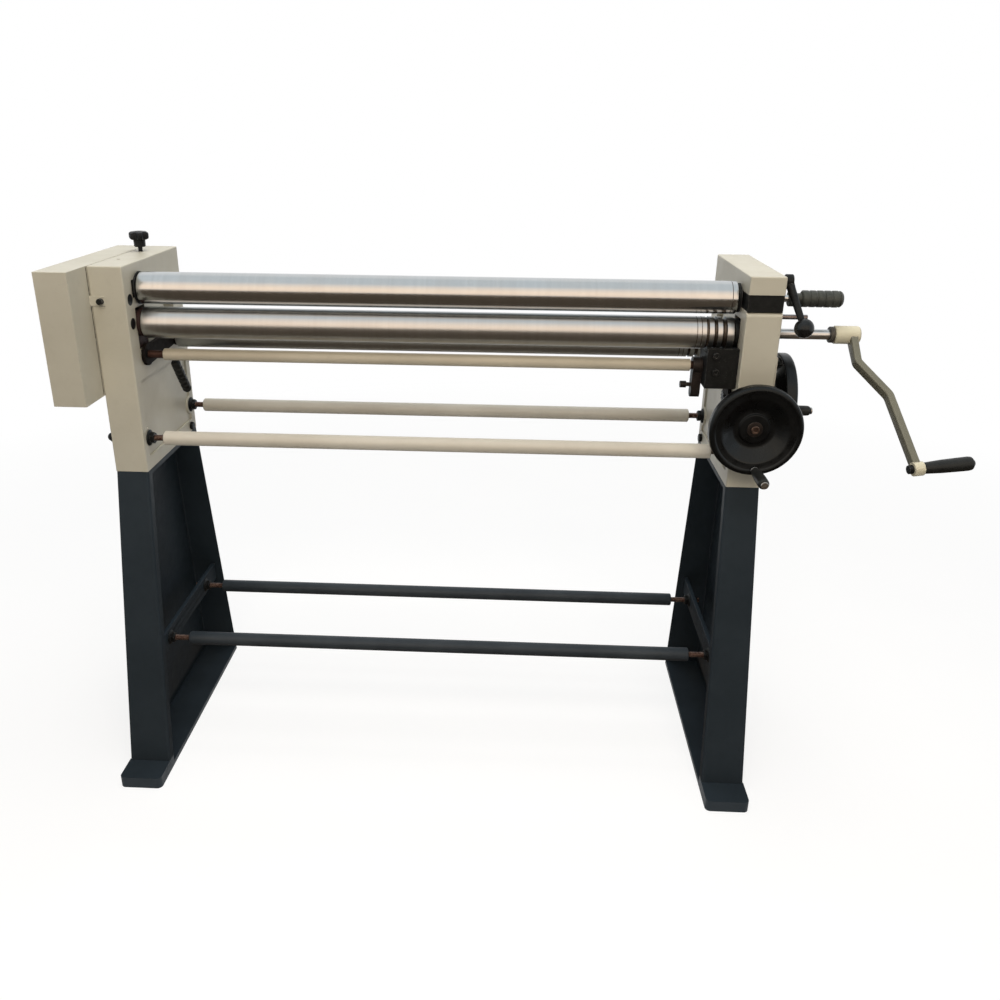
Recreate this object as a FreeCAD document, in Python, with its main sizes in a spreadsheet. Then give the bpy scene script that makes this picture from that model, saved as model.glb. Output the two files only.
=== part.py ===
import FreeCAD, Part
import math, os
from FreeCAD import Vector as V, Rotation, Placement

# Hand slip roll on a stand: three rolls between two side castings, a crank on the lower
# roll, two handwheels, a swing-out upper roll. Millimetres. X runs along the rolls to the
# crank side, Y to the back, Z up. Sizes are laid out from the floor, mid-length, below the
# rolls; at the end every piece is moved so that the origin is on the floor under the middle
# of the machine's outer box.

doc = FreeCAD.newDocument("slip_roll")
sheet = doc.addObject("Spreadsheet::Sheet", "dims")

DRIVING = [
    # rolls
    ("roll_radius", 35.0), ("roll_half", 650.0), ("pass_gap", 7.0), ("lift_travel", 6.5),
    ("journal_radius", 15.0), ("upper_journal", 14.0), ("upper_end", 12.5), ("rear_journal", 12.0),
    ("drive_radius", 11.0), ("tail_radius", 8.0), ("journal_tail", 51.0), ("rear_reach", 185.2),
    ("rear_rest_angle", 2.6), ("rear_swing", 36.0),
    # castings: heights are steps up from the floor, each from the one before
    ("barrel_gap", 10.0), ("casting_depth", 75.0), ("front_edge", -70.0), ("back_edge", 262.0),
    ("casting_base", 782.0), ("screw_rise", 149.0), ("shaft_rise", 112.5), ("shaft_clear", 38.5),
    ("head_height", 56.0), ("wall_inner", 16.0), ("guide_half", 26.0), ("chamber_back", 60.0),
    ("panel_depth", 4.0), ("edge_round", 3.0), ("slide_gap", 0.2), ("running_gap", 0.06),
    ("fit_gap", 0.05),
    # stand
    ("leg_wall", 8.0), ("leg_round", 7.0), ("return_width", 24.0), ("base_plate", 12.0),
    ("foot_front", -158.0), ("foot_back", 415.0), ("foot_in_step", 5.0), ("foot_out_step", 33.0),
    ("toe_reach", 63.0), ("toe_height", 29.0), ("toe_round", 12.0), ("rod_radius", 16.5),
    ("stud_radius", 7.0), ("bolt_radius", 6.0), ("stand_rod_height", 308.0), ("bar_step", 21.0),
    ("bar_thickness", 10.0), ("bar_height", 50.0),
    # cross shaft and lifting gear
    ("shaft_tube", 13.5), ("shaft_end", 9.0), ("bush_radius", 13.0), ("cam_radius", 22.0),
    ("cam_throw", 10.0), ("rock_half", 19.0), ("rocker_pin", 24.0), ("lever_lean", 35.0),
    ("lever_length", 128.0),
    # drive gears under the cover; their pitch circles are as large as the rolls
    ("gear_teeth", 14.0), ("gear_offset", 35.0), ("gear_width", 18.0), ("gear_slack", 1.4),
    # side wheel pinion and arm sector
    ("pinion_module", 2.5), ("pinion_teeth", 10.0), ("sector_teeth", 55.0), ("pinion_angle", -72.1),
    # wheels and crank
    ("wheel_radius", 100.0), ("grip_inset", 13.0), ("grip_length", 84.0), ("crank_lean", 49.0),
    ("crank_bar", 15.0), ("crank_width", 22.0), ("drive_reach", 170.0), ("crank_neck", 73.0),
    ("crank_knee_out", 55.0), ("crank_knee_drop", 154.0), ("crank_tip_out", 80.0),
    ("crank_throw", 326.0), ("crank_grip_length", 99.0),
    # gear cover
    ("cover_sheet", 2.0), ("cover_depth", 71.5), ("cover_gap", 1.5), ("cover_front", -157.0),
    ("cover_drop", 154.0),
]

# places that follow from the sizes; each is read wherever its name stands in a formula
PLACES = {
    "casting_face": "roll_half+barrel_gap",
    "out_face": "casting_face+casting_depth",
    "mid_face": "casting_face+casting_depth/2",
    "screw_height": "casting_base+screw_rise",
    "shaft_height": "screw_height+shaft_rise",
    "lower_height": "shaft_height+shaft_clear+roll_radius",
    "upper_height": "lower_height+2*roll_radius+pass_gap",
    "casting_top": "upper_height+head_height",
    "foot_inner": "casting_face+foot_in_step",
    "foot_outer": "out_face+foot_out_step",
    "toe_front": "foot_front-toe_reach",
    "bar_face": "casting_face+bar_step",
    "gear_mid": "out_face+gear_offset",
    "cover_right": "out_face+cover_gap",
    "cover_left": "cover_right+cover_depth",
    "cover_floor": "lower_height-cover_drop",
    "wheel_face": "front_edge-30",
    "side_face": "out_face+33",
    "grip_circle": "wheel_radius-grip_inset",
    "pinion_reach": "pinion_module*(pinion_teeth+sector_teeth)/2",
}
D = {}
for line, (alias, value) in enumerate(DRIVING, start=1):
    sheet.set("A%d" % line, alias)
    sheet.set("B%d" % line, repr(value))
    sheet.setAlias("B%d" % line, alias)
    D[alias] = value
doc.recompute()


def words(text):
    """Split a formula into its names and numbers, and the signs between them."""
    parts, word = [], ""
    for c in text + " ":
        if c.isalnum() or c in "_.":
            word += c
            continue
        if word:
            parts.append(word)
        word = ""
        if c != " ":
            parts.append(c)
    return parts


def spelled(text):
    """Write a formula out in driving sizes alone, with each place put in brackets."""
    return "".join("(" + spelled(PLACES[w]) + ")" if w in PLACES else w for w in words(str(text)))


def bind(obj, prop, text):
    """Bind one property of an object to the sheet's cells."""
    cells = ["dims." + w if w in D else w for w in words(spelled(text))]
    obj.setExpression(prop, "".join(cells))


def value(text):
    """Work out a formula on the driving dimensions as a number."""
    return _Formula(spelled(text), D).result()


class _Formula:
    """A small reader for sums of products of names and numbers, with brackets."""

    def __init__(self, text, names):
        self.text, self.names, self.at = text, names, 0

    def result(self):
        total = self.term()
        while self.at < len(self.text) and self.text[self.at] in "+-":
            sign = self.text[self.at]
            self.at += 1
            total = total + self.term() if sign == "+" else total - self.term()
        return total

    def term(self):
        total = self.atom()
        while self.at < len(self.text) and self.text[self.at] in "*/":
            sign = self.text[self.at]
            self.at += 1
            total = total * self.atom() if sign == "*" else total / self.atom()
        return total

    def atom(self):
        c = self.text[self.at]
        if c in "+-":
            self.at += 1
            return self.atom() if c == "+" else -self.atom()
        if c == "(":
            self.at += 1
            inner = self.result()
            self.at += 1
            return inner
        start = self.at
        while self.at < len(self.text) and (self.text[self.at].isalnum() or self.text[self.at] in "_."):
            self.at += 1
        word = self.text[start:self.at]
        return self.names[word] if word in self.names else float(word)


PROPS = {"x": "Placement.Base.x", "y": "Placement.Base.y", "z": "Placement.Base.z"}
AXIS_TURN = {"x": Rotation(V(0, 1, 0), 90), "y": Rotation(V(1, 0, 0), -90), "z": Rotation()}
NODES = []


def place(obj, pos, turn=None):
    """Put an object at a place given by three formulas, with an optional rotation."""
    obj.Placement = Placement(V(*[value(p) for p in pos]), turn or Rotation())
    for letter, text in zip("xyz", pos):
        bind(obj, PROPS[letter], str(text))


def box(label, size, pos):
    """A block: size and low corner are formulas."""
    obj = doc.addObject("Part::Box", label)
    for prop, text in zip(("Length", "Width", "Height"), size):
        bind(obj, prop, str(text))
    place(obj, pos)
    return obj


def span(label, xs, ys, zs):
    """A block from low and high limits along each axis."""
    size = ["(%s)-(%s)" % (b, a) for a, b in (xs, ys, zs)]
    return box(label, size, [xs[0], ys[0], zs[0]])


def rod(label, radius, axis, start, end, across):
    """A round bar along an axis from start to end; across holds its other two coordinates."""
    obj = doc.addObject("Part::Cylinder", label)
    bind(obj, "Radius", str(radius))
    bind(obj, "Height", "(%s)-(%s)" % (end, start))
    if axis == "x":
        pos = [start, across[0], across[1]]
    elif axis == "y":
        pos = [across[0], start, across[1]]
    else:
        pos = [across[0], across[1], start]
    place(obj, pos, AXIS_TURN[axis])
    return obj


def cone(label, r1, r2, axis, start, end, across):
    """A tapered round bar along an axis."""
    obj = doc.addObject("Part::Cone", label)
    bind(obj, "Radius1", str(r1))
    bind(obj, "Radius2", str(r2))
    bind(obj, "Height", "(%s)-(%s)" % (end, start))
    pos = {"x": [start, across[0], across[1]], "y": [across[0], start, across[1]],
           "z": [across[0], across[1], start]}[axis]
    place(obj, pos, AXIS_TURN[axis])
    return obj


def ring_groove(label, big, small, at_x, height, y=0):
    """A torus around a roll, for one wire groove."""
    obj = doc.addObject("Part::Torus", label)
    bind(obj, "Radius1", str(big))
    bind(obj, "Radius2", str(small))
    place(obj, [at_x, y, height], AXIS_TURN["x"])
    return obj


def join(label, parts):
    """One solid from several overlapping ones."""
    if len(parts) == 1:
        parts[0].Label = label
        return parts[0]
    obj = doc.addObject("Part::MultiFuse", label)
    obj.Shapes = parts
    obj.Refine = True
    return obj


def cut(label, base, tools):
    """A solid with others taken away."""
    tool = tools[0] if len(tools) == 1 else join(label + "_tools", tools)
    obj = doc.addObject("Part::Cut", label)
    obj.Base, obj.Tool = base, tool
    obj.Refine = True
    return obj


def group(label, parts):
    """Several separate solids that make one node, such as a set of like fasteners."""
    obj = doc.addObject("Part::Compound", label)
    obj.Links = parts
    return obj


def node(obj, label):
    """Name an object as one of the machine's pieces."""
    obj.Label = label
    NODES.append((label, obj))
    return obj


def plane_of(body, role):
    """One of a body's own origin planes."""
    return [f for f in body.Origin.OriginFeatures if f.Role == role][0]


def profile(body, name, role, points, offset=None):
    """A closed sketch of straight lines whose corners are held by formulas."""
    sk = body.newObject("Sketcher::SketchObject", name)
    sk.AttachmentSupport = [(plane_of(body, role), "")]
    sk.MapMode = "FlatFace"
    if offset is not None:
        sk.AttachmentOffset = Placement(V(0, 0, value(offset)), Rotation())
        bind(sk, "AttachmentOffset.Base.z", str(offset))
    import Sketcher
    pts = [(value(a), value(b)) for a, b in points]
    n = len(pts)
    for i in range(n):
        a, b = pts[i], pts[(i + 1) % n]
        sk.addGeometry(Part.LineSegment(V(a[0], a[1], 0), V(b[0], b[1], 0)), False)
    for i in range(n):
        sk.addConstraint(Sketcher.Constraint("Coincident", i, 2, (i + 1) % n, 1))
    for i, (a, b) in enumerate(points):
        for kind, text in (("DistanceX", a), ("DistanceY", b)):
            k = sk.addConstraint(Sketcher.Constraint(kind, -1, 1, i, 1, value(text)))
            bind(sk, "Constraints[%d]" % k, str(text))
    return sk


def outline(body, name, role, pts, offset=0.0):
    """A closed sketch through computed points, for gear teeth and bent bars."""
    sk = body.newObject("Sketcher::SketchObject", name)
    sk.AttachmentSupport = [(plane_of(body, role), "")]
    sk.MapMode = "FlatFace"
    sk.AttachmentOffset = Placement(V(0, 0, offset), Rotation())
    n = len(pts)
    sk.addGeometry([Part.LineSegment(V(pts[i][0], pts[i][1], 0),
                                     V(pts[(i + 1) % n][0], pts[(i + 1) % n][1], 0))
                    for i in range(n)], False)
    return sk


def pad(body, sk, length, name, middle=False):
    """Raise a sketch by a length given as a formula."""
    feat = body.newObject("PartDesign::Pad", name)
    feat.Profile = sk
    feat.Length = value(length)
    bind(feat, "Length", str(length))
    feat.Midplane = middle
    body.Tip = feat
    return feat


def new_body(label):
    return doc.addObject("PartDesign::Body", label)


def turned(label, points, axis_pos, axis):
    """A piece of revolution. Points are (radius, along) formulas; axis_pos is on its axis."""
    body = new_body(label)
    sk = profile(body, label + "_profile", "XZ_Plane", points)
    rev = body.newObject("PartDesign::Revolution", label + "_turn")
    rev.Profile = sk
    rev.ReferenceAxis = (sk, ["V_Axis"])
    rev.Angle = 360.0
    body.Tip = rev
    place(body, axis_pos, {"z": Rotation(), "x": Rotation(V(0, 1, 0), 90),
                           "-y": Rotation(V(1, 0, 0), 90)}[axis])
    return body


def side(sign, a, b):
    """Low and high limits along X for the same piece on the left or the right."""
    return (a, b) if sign > 0 else ("-(%s)" % b, "-(%s)" % a)


def tooth_points(module, teeth, addendum, dedendum, slack, first_angle, count):
    """Corner points of `count` involute teeth, the first centred on first_angle (degrees)."""
    pitch_r = module * teeth / 2.0
    base_r = pitch_r * math.cos(math.radians(20))
    tip_r, root_r = pitch_r + addendum, pitch_r - dedendum
    half = (math.pi * module / 2.0 - slack) / 2.0 / pitch_r
    inv20 = math.tan(math.radians(20)) - math.radians(20)
    pts = []
    for k in range(count):
        mid = math.radians(first_angle + 360.0 * k / teeth)
        flank = []
        steps = 5
        low = max(base_r, root_r)
        for i in range(steps + 1):
            r = low + (tip_r - low) * i / steps
            a = math.acos(min(1.0, base_r / r))
            flank.append((r, half + inv20 - (math.tan(a) - a)))
        if root_r < base_r:
            flank.insert(0, (root_r, flank[0][1]))
        for r, a in flank:
            pts.append((r, mid - a))
        for r, a in reversed(flank):
            pts.append((r, mid + a))
    return [(r * math.cos(a), r * math.sin(a)) for r, a in pts]


# ---------------------------------------------------------------- side castings
def casting_block(label, sign):
    """The plain cast block of one side, before its slots and pockets, with eased edges."""
    body = new_body(label)
    corners = [("front_edge", "casting_base"), ("back_edge", "casting_base"),
               ("back_edge", "casting_top"), ("front_edge", "casting_top")]
    sk = profile(body, label + "_profile", "YZ_Plane", corners)
    pad(body, sk, "casting_depth", label + "_pad")
    doc.recompute()
    tip = body.Tip
    edges = []
    for i, e in enumerate(tip.Shape.Edges, start=1):
        mid = e.valueAt((e.FirstParameter + e.LastParameter) / 2.0)
        if mid.z > value("casting_base") + 1.0:
            edges.append("Edge%d" % i)
    fil = body.newObject("PartDesign::Fillet", label + "_ease")
    fil.Base = (tip, edges)
    bind(fil, "Radius", "edge_round")
    body.Tip = fil
    place(body, ["casting_face" if sign > 0 else "-out_face", "0", "0"])
    return body


def arc_pocket(label, sign):
    """The curved pocket in which one rear-arm boss swings."""
    depth_a, depth_b = side(sign, "casting_face-1", "casting_face+32")
    parts = []
    for name, radius in (("wide", "rear_reach+25.2"), ("core", "rear_reach-25.2")):
        sector = doc.addObject("Part::Cylinder", label + "_" + name)
        bind(sector, "Radius", radius)
        bind(sector, "Height", "33")
        if name == "wide":
            bind(sector, "Angle", "rear_swing")
        low = depth_a
        turn = Rotation(V(1, 0, 0), value("rear_rest_angle")).multiply(
            Rotation(V(0, 0, 1), V(1, 0, 0), V(0, 0, 1), "ZYX"))
        # the sector opens from local X; stand it so local Z is along X and local X along Y
        base = Rotation(V(0, 1, 0), V(0, 0, 1), V(1, 0, 0), "XYZ")
        turn = Rotation(V(1, 0, 0), value("rear_rest_angle")).multiply(base)
        place(sector, [low, "0", "shaft_height"], turn)
        parts.append(sector)
    swept = cut(label + "_sector", parts[0], [parts[1]])
    ends = []
    for k, extra in enumerate((0.0, D["rear_swing"])):
        ang = math.radians(D["rear_rest_angle"] + extra)
        ends.append(rod("%s_end%d" % (label, k), "25.2", "x", depth_a, depth_b,
                        (repr(round(math.cos(ang), 9)) + "*rear_reach",
                         "shaft_height+" + repr(round(math.sin(ang), 9)) + "*rear_reach")))
    return join(label, [swept] + ends)


TIE_RODS = {"front": ("front_edge+32", "casting_base+73"), "rear": ("back_edge-24", "casting_base+68")}
PLUGS = (("-guide_half-19", "upper_height-19.2"), ("-guide_half-19", "lower_height+5.3"))
LOW_BOLT = ("back_edge-39", "casting_base+14")
BASE_BOLTS = ("front_edge+40", "back_edge-72")
PLUG_RADIUS = 12.5


def inner_panel(label, sign):
    """The shallow panel of one inner face, with bosses left standing round the tie rods."""
    xs = side(sign, "casting_face-1", "casting_face+panel_depth")
    panel = span(label + "_panel", xs, ("front_edge+24", "back_edge-26"),
                 ("casting_base+30", "shaft_height-51.5"))
    bosses = [rod("%s_boss_%s" % (label, k), "24", "x", "%s-1" % xs[0], "%s+1" % xs[1], yz)
              for k, yz in TIE_RODS.items()]
    return cut(label, panel, bosses)


def common_cuts(tag, sign):
    """Slots, pockets and holes that both castings share."""
    through = side(sign, "casting_face-1", "out_face+1")
    wall = side(sign, "casting_face-1", "casting_face+wall_inner+1")
    cuts = [
        span(tag + "_guide", through, ("-guide_half", "guide_half"),
             ("shaft_height+15.5", "lower_height+36")),
        rod(tag + "_shaft_bore", "bush_radius", "x", wall[0], wall[1], ("0", "shaft_height")),
        arc_pocket(tag + "_arc", sign),
        inner_panel(tag + "_inset", sign),
    ]
    for k, yz in TIE_RODS.items():
        cuts.append(rod("%s_hole_%s" % (tag, k), "stud_radius+fit_gap", "x",
                        through[0], through[1], yz))
    head = side(sign, "casting_face-1", "casting_face+20")
    cuts.append(rod(tag + "_low_bolt", "bolt_radius+fit_gap", "x", head[0], head[1], LOW_BOLT))
    mid = "mid_face" if sign > 0 else "-mid_face"
    for k, y in enumerate(BASE_BOLTS):
        cuts.append(rod("%s_base_bolt%d" % (tag, k), "bolt_radius+fit_gap", "z", "casting_base-1",
                        "casting_base+36", (mid, y)))
    return cuts


KNOB_AT = ("-mid_face-12.5", "back_edge-100")
COVER_SCREW = ("-mid_face-14.5", "upper_height-18")
SIDE_AXIS = (repr(round(math.cos(math.radians(D["pinion_angle"])), 9)) + "*pinion_reach",
             "shaft_height-" + repr(round(-math.sin(math.radians(D["pinion_angle"])), 9)) + "*pinion_reach")
FRONT_AXIS = ("mid_face", "screw_height")
CLAMP_AT = ("-30", "casting_top-14")
REST_AT = ("40", "lower_height+29")

left_cuts = common_cuts("lf", -1) + [
    span("lf_upper_slot", ("-out_face-1", "-casting_face+1"), ("-29", "30"),
         ("upper_height-20", "upper_height+20")),
    rod("lf_cam_pocket", "cam_radius+cam_throw+1.5", "x", "-out_face-1", "-casting_face-wall_inner",
        ("0", "shaft_height")),
    rod("lf_knob_hole", "5+fit_gap", "z", "casting_top-47", "casting_top+1", KNOB_AT),
    rod("lf_oil_hole", "4", "z", "casting_top-9", "casting_top+1", ("-mid_face-10.5", "32")),
    rod("lf_cover_hole", "3+fit_gap", "y", "front_edge-1", "front_edge+16", COVER_SCREW),
]
for k, yz in enumerate(PLUGS):
    left_cuts.append(rod("lf_plug_hole%d" % k, "%r+fit_gap" % PLUG_RADIUS, "x", "-casting_face-8",
                         "-casting_face+1", yz))
node(cut("left_frame", casting_block("left_block_cast", -1), left_cuts), "left_frame")

round_box = span("rf_round_box", ("casting_face-1", "out_face+1"), ("front_edge-1", "front_edge+12"),
                 ("upper_height-30", "upper_height-17"))
round_bar = rod("rf_round_bar", "12", "x", "casting_face-2", "out_face+2",
                ("front_edge+12", "upper_height-30"))
right_cuts = common_cuts("rf", 1) + [
    span("rf_upper_slot", ("casting_face-1", "out_face+1"), ("front_edge-1", "22"),
         ("upper_height-18", "upper_height+18")),
    cut("rf_round", round_box, [round_bar]),
    span("rf_chamber", ("casting_face+wall_inner", "out_face+1"), ("front_edge+14", "chamber_back"),
         ("screw_height-26", "shaft_height+34")),
    rod("rf_wheel_bore", "12+fit_gap", "y", "front_edge-1", "front_edge+15", FRONT_AXIS),
    rod("rf_screw_tail", "6+running_gap", "y", "chamber_back-1", "chamber_back+10", FRONT_AXIS),
    rod("rf_side_bore", "11+fit_gap", "x", "casting_face-1", "casting_face+wall_inner+1",
        SIDE_AXIS),
    rod("rf_clamp_bore", "7+running_gap", "x", "out_face-34", "out_face+1", CLAMP_AT),
    rod("rf_rest_bore", "5.5+fit_gap", "x", "out_face-19", "out_face+1", REST_AT),
]
node(cut("right_frame", casting_block("right_block_cast", 1), right_cuts), "right_frame")

# ---------------------------------------------------------------- stand
def rounded_plan(body, name, xs, ys, height, radius):
    """A level rectangle with round corners: limits, height and radius are formulas."""
    import Sketcher
    sk = body.newObject("Sketcher::SketchObject", name)
    sk.AttachmentSupport = [(plane_of(body, "XY_Plane"), "")]
    sk.MapMode = "FlatFace"
    sk.AttachmentOffset = Placement(V(0, 0, value(height)), Rotation())
    bind(sk, "AttachmentOffset.Base.z", height)
    x0, x1, y0, y1, r = value(xs[0]), value(xs[1]), value(ys[0]), value(ys[1]), value(radius)
    ends = [((x0 + r, y0), (x1 - r, y0)), ((x1, y0 + r), (x1, y1 - r)),
            ((x1 - r, y1), (x0 + r, y1)), ((x0, y1 - r), (x0, y0 + r))]
    mids = [(x1 - r, y0 + r, -90), (x1 - r, y1 - r, 0), (x0 + r, y1 - r, 90), (x0 + r, y0 + r, 180)]
    for (a, b), (cx, cy, start) in zip(ends, mids):
        sk.addGeometry(Part.LineSegment(V(a[0], a[1], 0), V(b[0], b[1], 0)), False)
        circle = Part.Circle(V(cx, cy, 0), V(0, 0, 1), r)
        sk.addGeometry(Part.ArcOfCircle(circle, math.radians(start), math.radians(start + 90)), False)
    for k in range(4):
        line, arc, after = 2 * k, 2 * k + 1, (2 * k + 2) % 8
        sk.addConstraint(Sketcher.Constraint("Tangent", line, 2, arc, 1))
        sk.addConstraint(Sketcher.Constraint("Tangent", arc, 2, after, 1))
        sk.addConstraint(Sketcher.Constraint("Horizontal" if k % 2 == 0 else "Vertical", line))
        c = sk.addConstraint(Sketcher.Constraint("Radius", arc, r))
        bind(sk, "Constraints[%d]" % c, radius)
    for line, kind, text in ((0, "DistanceY", ys[0]), (2, "DistanceX", xs[1]),
                             (4, "DistanceY", ys[1]), (6, "DistanceX", xs[0])):
        c = sk.addConstraint(Sketcher.Constraint(kind, -1, 1, line, 1, value(text)))
        bind(sk, "Constraints[%d]" % c, str(text))
    return sk


def tapered(label, low, top, radius):
    """A straight-sided body between a plan at the floor and a plan under the casting."""
    body = new_body(label)
    plans = [rounded_plan(body, label + "_low", low[0], low[1], "0", radius),
             rounded_plan(body, label + "_top", top[0], top[1], "casting_base", radius)]
    loft = body.newObject("PartDesign::AdditiveLoft", label + "_loft")
    loft.Profile = plans[0]
    loft.Sections = [plans[1]]
    loft.Ruled = True
    body.Tip = loft
    return body


def leg(sign, label):
    """One folded leg: outer web, front and back flanges, front return, plates and toe."""
    low_x = side(sign, "foot_inner", "foot_outer")
    body = tapered(label + "_shell", (low_x, ("foot_front", "foot_back")),
                   (side(sign, "casting_face", "out_face"), ("front_edge", "back_edge")), "leg_round")
    hollow = tapered(label + "_hollow",
                     (side(sign, "foot_inner+leg_wall", "foot_outer-leg_wall"),
                      ("foot_front+leg_wall", "foot_back-leg_wall")),
                     (side(sign, "casting_face+leg_wall", "out_face-leg_wall"),
                      ("front_edge+leg_wall", "back_edge-leg_wall")), "4")
    mouth = tapered(label + "_mouth",
                    (side(sign, "foot_inner-10", "foot_inner+leg_wall+6"),
                     ("foot_front+return_width", "foot_back-leg_wall")),
                    (side(sign, "casting_face-10", "casting_face+leg_wall+6"),
                     ("front_edge+return_width", "back_edge-leg_wall")), "4")
    room = span(label + "_room", ("-foot_outer-50", "foot_outer+50"), ("toe_front-50", "foot_back+50"),
                ("base_plate", "casting_base-base_plate"))
    inside = doc.addObject("Part::Common", label + "_inside")
    inside.Base, inside.Tool = join(label + "_cavity", [hollow, mouth]), room
    shell = cut(label + "_web", body, [inside])
    toe = new_body(label + "_toe")
    pts = [(low_x[0], "toe_front"), (low_x[1], "toe_front"), (low_x[1], "foot_front+leg_wall"),
           (low_x[0], "foot_front+leg_wall")]
    sk = profile(toe, label + "_toe_plan", "XY_Plane", pts)
    pad(toe, sk, "toe_height", label + "_toe_pad")
    doc.recompute()
    tip = toe.Tip
    uprights = []
    for i, e in enumerate(tip.Shape.Edges, start=1):
        a, b = e.Vertexes[0].Point, e.Vertexes[-1].Point
        if abs(a.z - b.z) > 5.0 and max(a.y, b.y) < value("toe_front") + 1.0:
            uprights.append("Edge%d" % i)
    fil = toe.newObject("PartDesign::Fillet", label + "_toe_ease")
    fil.Base = (tip, uprights)
    bind(fil, "Radius", "toe_round")
    toe.Tip = fil
    bolts = []
    mid = "mid_face" if sign > 0 else "-mid_face"
    for k, y in enumerate(BASE_BOLTS):
        bolts.append(rod("%s_bolt_hole%d" % (label, k), "bolt_radius+0.5", "z", "casting_base-base_plate-2",
                         "casting_base+1", (mid, y)))
    return cut(label, join(label + "_body", [shell, toe]), bolts)


node(leg(-1, "left_leg"), "left_leg")
node(leg(1, "right_leg"), "right_leg")

STAND_RODS = {"front": "front_edge+50.5", "rear": "back_edge-8"}
BAR_TOP = "(stand_rod_height+bar_height/2)"
BAR_ENDS = ("foot_front+(front_edge-foot_front)*" + BAR_TOP + "/casting_base+leg_wall+0.5",
            "foot_back-(foot_back-back_edge)*" + BAR_TOP + "/casting_base-leg_wall-0.3")
for sign, label in ((-1, "left_cross_bar"), (1, "right_cross_bar")):
    xs = side(sign, "bar_face", "bar_face+bar_thickness")
    flat = span(label + "_flat", xs, BAR_ENDS,
                ("stand_rod_height-bar_height/2", "stand_rod_height+bar_height/2"))
    holes = [rod("%s_%s" % (label, k), "stud_radius+fit_gap", "x", xs[0] + "-1", xs[1] + "+1",
                 (y, "stand_rod_height")) for k, y in STAND_RODS.items()]
    node(cut(label, flat, holes), label)


def tube(label, radius, bore, start, end, across):
    """A tube along X."""
    outer = rod(label + "_outer", radius, "x", start, end, across)
    inner = rod(label + "_bore", bore, "x", "%s-1" % start, "%s+1" % end, across)
    return cut(label, outer, [inner])


def hexagon(label, across_flats, start, end, yz, bore=None):
    """A hexagon nut or bolt head along X."""
    body = new_body(label)
    pts = []
    for k in range(6):
        ang = math.radians(60 * k + 30)
        pts.append((across_flats / math.sqrt(3) * math.cos(ang),
                    across_flats / math.sqrt(3) * math.sin(ang)))
    sk = outline(body, label + "_flats", "YZ_Plane", pts)
    pad(body, sk, "(%s)-(%s)" % (end, start), label + "_pad")
    place(body, [start, yz[0], yz[1]])
    if bore is None:
        return body
    return cut(label + "_nut", body, [rod(label + "_bore", bore, "x", "%s-1" % start, "%s+1" % end, yz)])


stand_studs, stand_nuts = [], []
for k, y in STAND_RODS.items():
    yz = (y, "stand_rod_height")
    node(tube(k + "_stand_rod", "rod_radius", "stud_radius+fit_gap",
              "-casting_face+31", "casting_face-31", yz), k + "_stand_rod")
    for sign, s in ((-1, "l"), (1, "r")):
        xs = side(sign, "casting_face-100", "bar_face+bar_thickness+16")
        stand_studs.append(rod("stand_stud_%s%s" % (k, s), "stud_radius", "x", xs[0], xs[1], yz))
        xs = side(sign, "bar_face-5", "bar_face")
        disc = rod("stand_disc_%s%s" % (k, s), "18.5", "x", xs[0], xs[1], yz)
        hx = side(sign, "bar_face-14", "bar_face-4")
        nut = join("stand_nut_%s%s" % (k, s), [disc, hexagon("stand_hex_%s%s" % (k, s), 24.0,
                                                            hx[0], hx[1], yz)])
        stand_nuts.append(cut("stand_nut_bored_%s%s" % (k, s), nut, [
            rod("stand_nut_bore_%s%s" % (k, s), "stud_radius+fit_gap", "x", hx[0] + "-20",
                hx[1] + "+20", yz)]))
        bx = side(sign, "bar_face+bar_thickness", "bar_face+bar_thickness+10")
        stand_nuts.append(hexagon("stand_back_%s%s" % (k, s), 22.0, bx[0], bx[1], yz,
                                  "stud_radius+fit_gap"))
node(group("stand_rod_nuts", stand_nuts), "stand_rod_nuts")

tie_studs, tie_nuts, tie_caps = [], [], []
for k, yz in TIE_RODS.items():
    node(tube(k + "_tie_rod", "rod_radius", "stud_radius+fit_gap",
              "-casting_face+37", "casting_face-37", yz), k + "_tie_rod")
    for sign, s in ((-1, "l"), (1, "r")):
        xs = side(sign, "casting_face-100", "out_face+14")
        tie_studs.append(rod("tie_stud_%s%s" % (k, s), "stud_radius", "x", xs[0], xs[1], yz))
        fx = side(sign, "casting_face-5", "casting_face")
        disc = rod("tie_disc_%s%s" % (k, s), "19", "x", fx[0], fx[1], yz)
        hx = side(sign, "casting_face-14", "casting_face-4")
        nut = join("tie_nut_%s%s" % (k, s), [disc, hexagon("tie_hex_%s%s" % (k, s), 24.0,
                                                          hx[0], hx[1], yz)])
        tie_nuts.append(cut("tie_nut_bored_%s%s" % (k, s), nut, [
            rod("tie_nut_bore_%s%s" % (k, s), "stud_radius+fit_gap", "x", hx[0] + "-20", hx[1] + "+20",
                yz)]))
        cx = side(sign, "out_face", "out_face+12")
        dome = doc.addObject("Part::Sphere", "tie_dome_%s%s" % (k, s))
        bind(dome, "Radius", "10")
        place(dome, ["out_face+12" if sign > 0 else "-out_face-12", yz[0], yz[1]])
        body = join("tie_cap_%s%s" % (k, s), [hexagon("tie_caphex_%s%s" % (k, s), 24.0,
                                                      cx[0], cx[1], yz), dome])
        bore = side(sign, "out_face-1", "out_face+14.5")
        tie_caps.append(cut("tie_cap_bored_%s%s" % (k, s), body, [
            rod("tie_cap_bore_%s%s" % (k, s), "stud_radius+fit_gap", "x", bore[0], bore[1], yz)]))
node(group("rod_studs", stand_studs + tie_studs), "rod_studs")
node(group("tie_rod_nuts", tie_nuts), "tie_rod_nuts")
node(group("tie_rod_cap_nuts", tie_caps), "tie_rod_cap_nuts")

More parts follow.
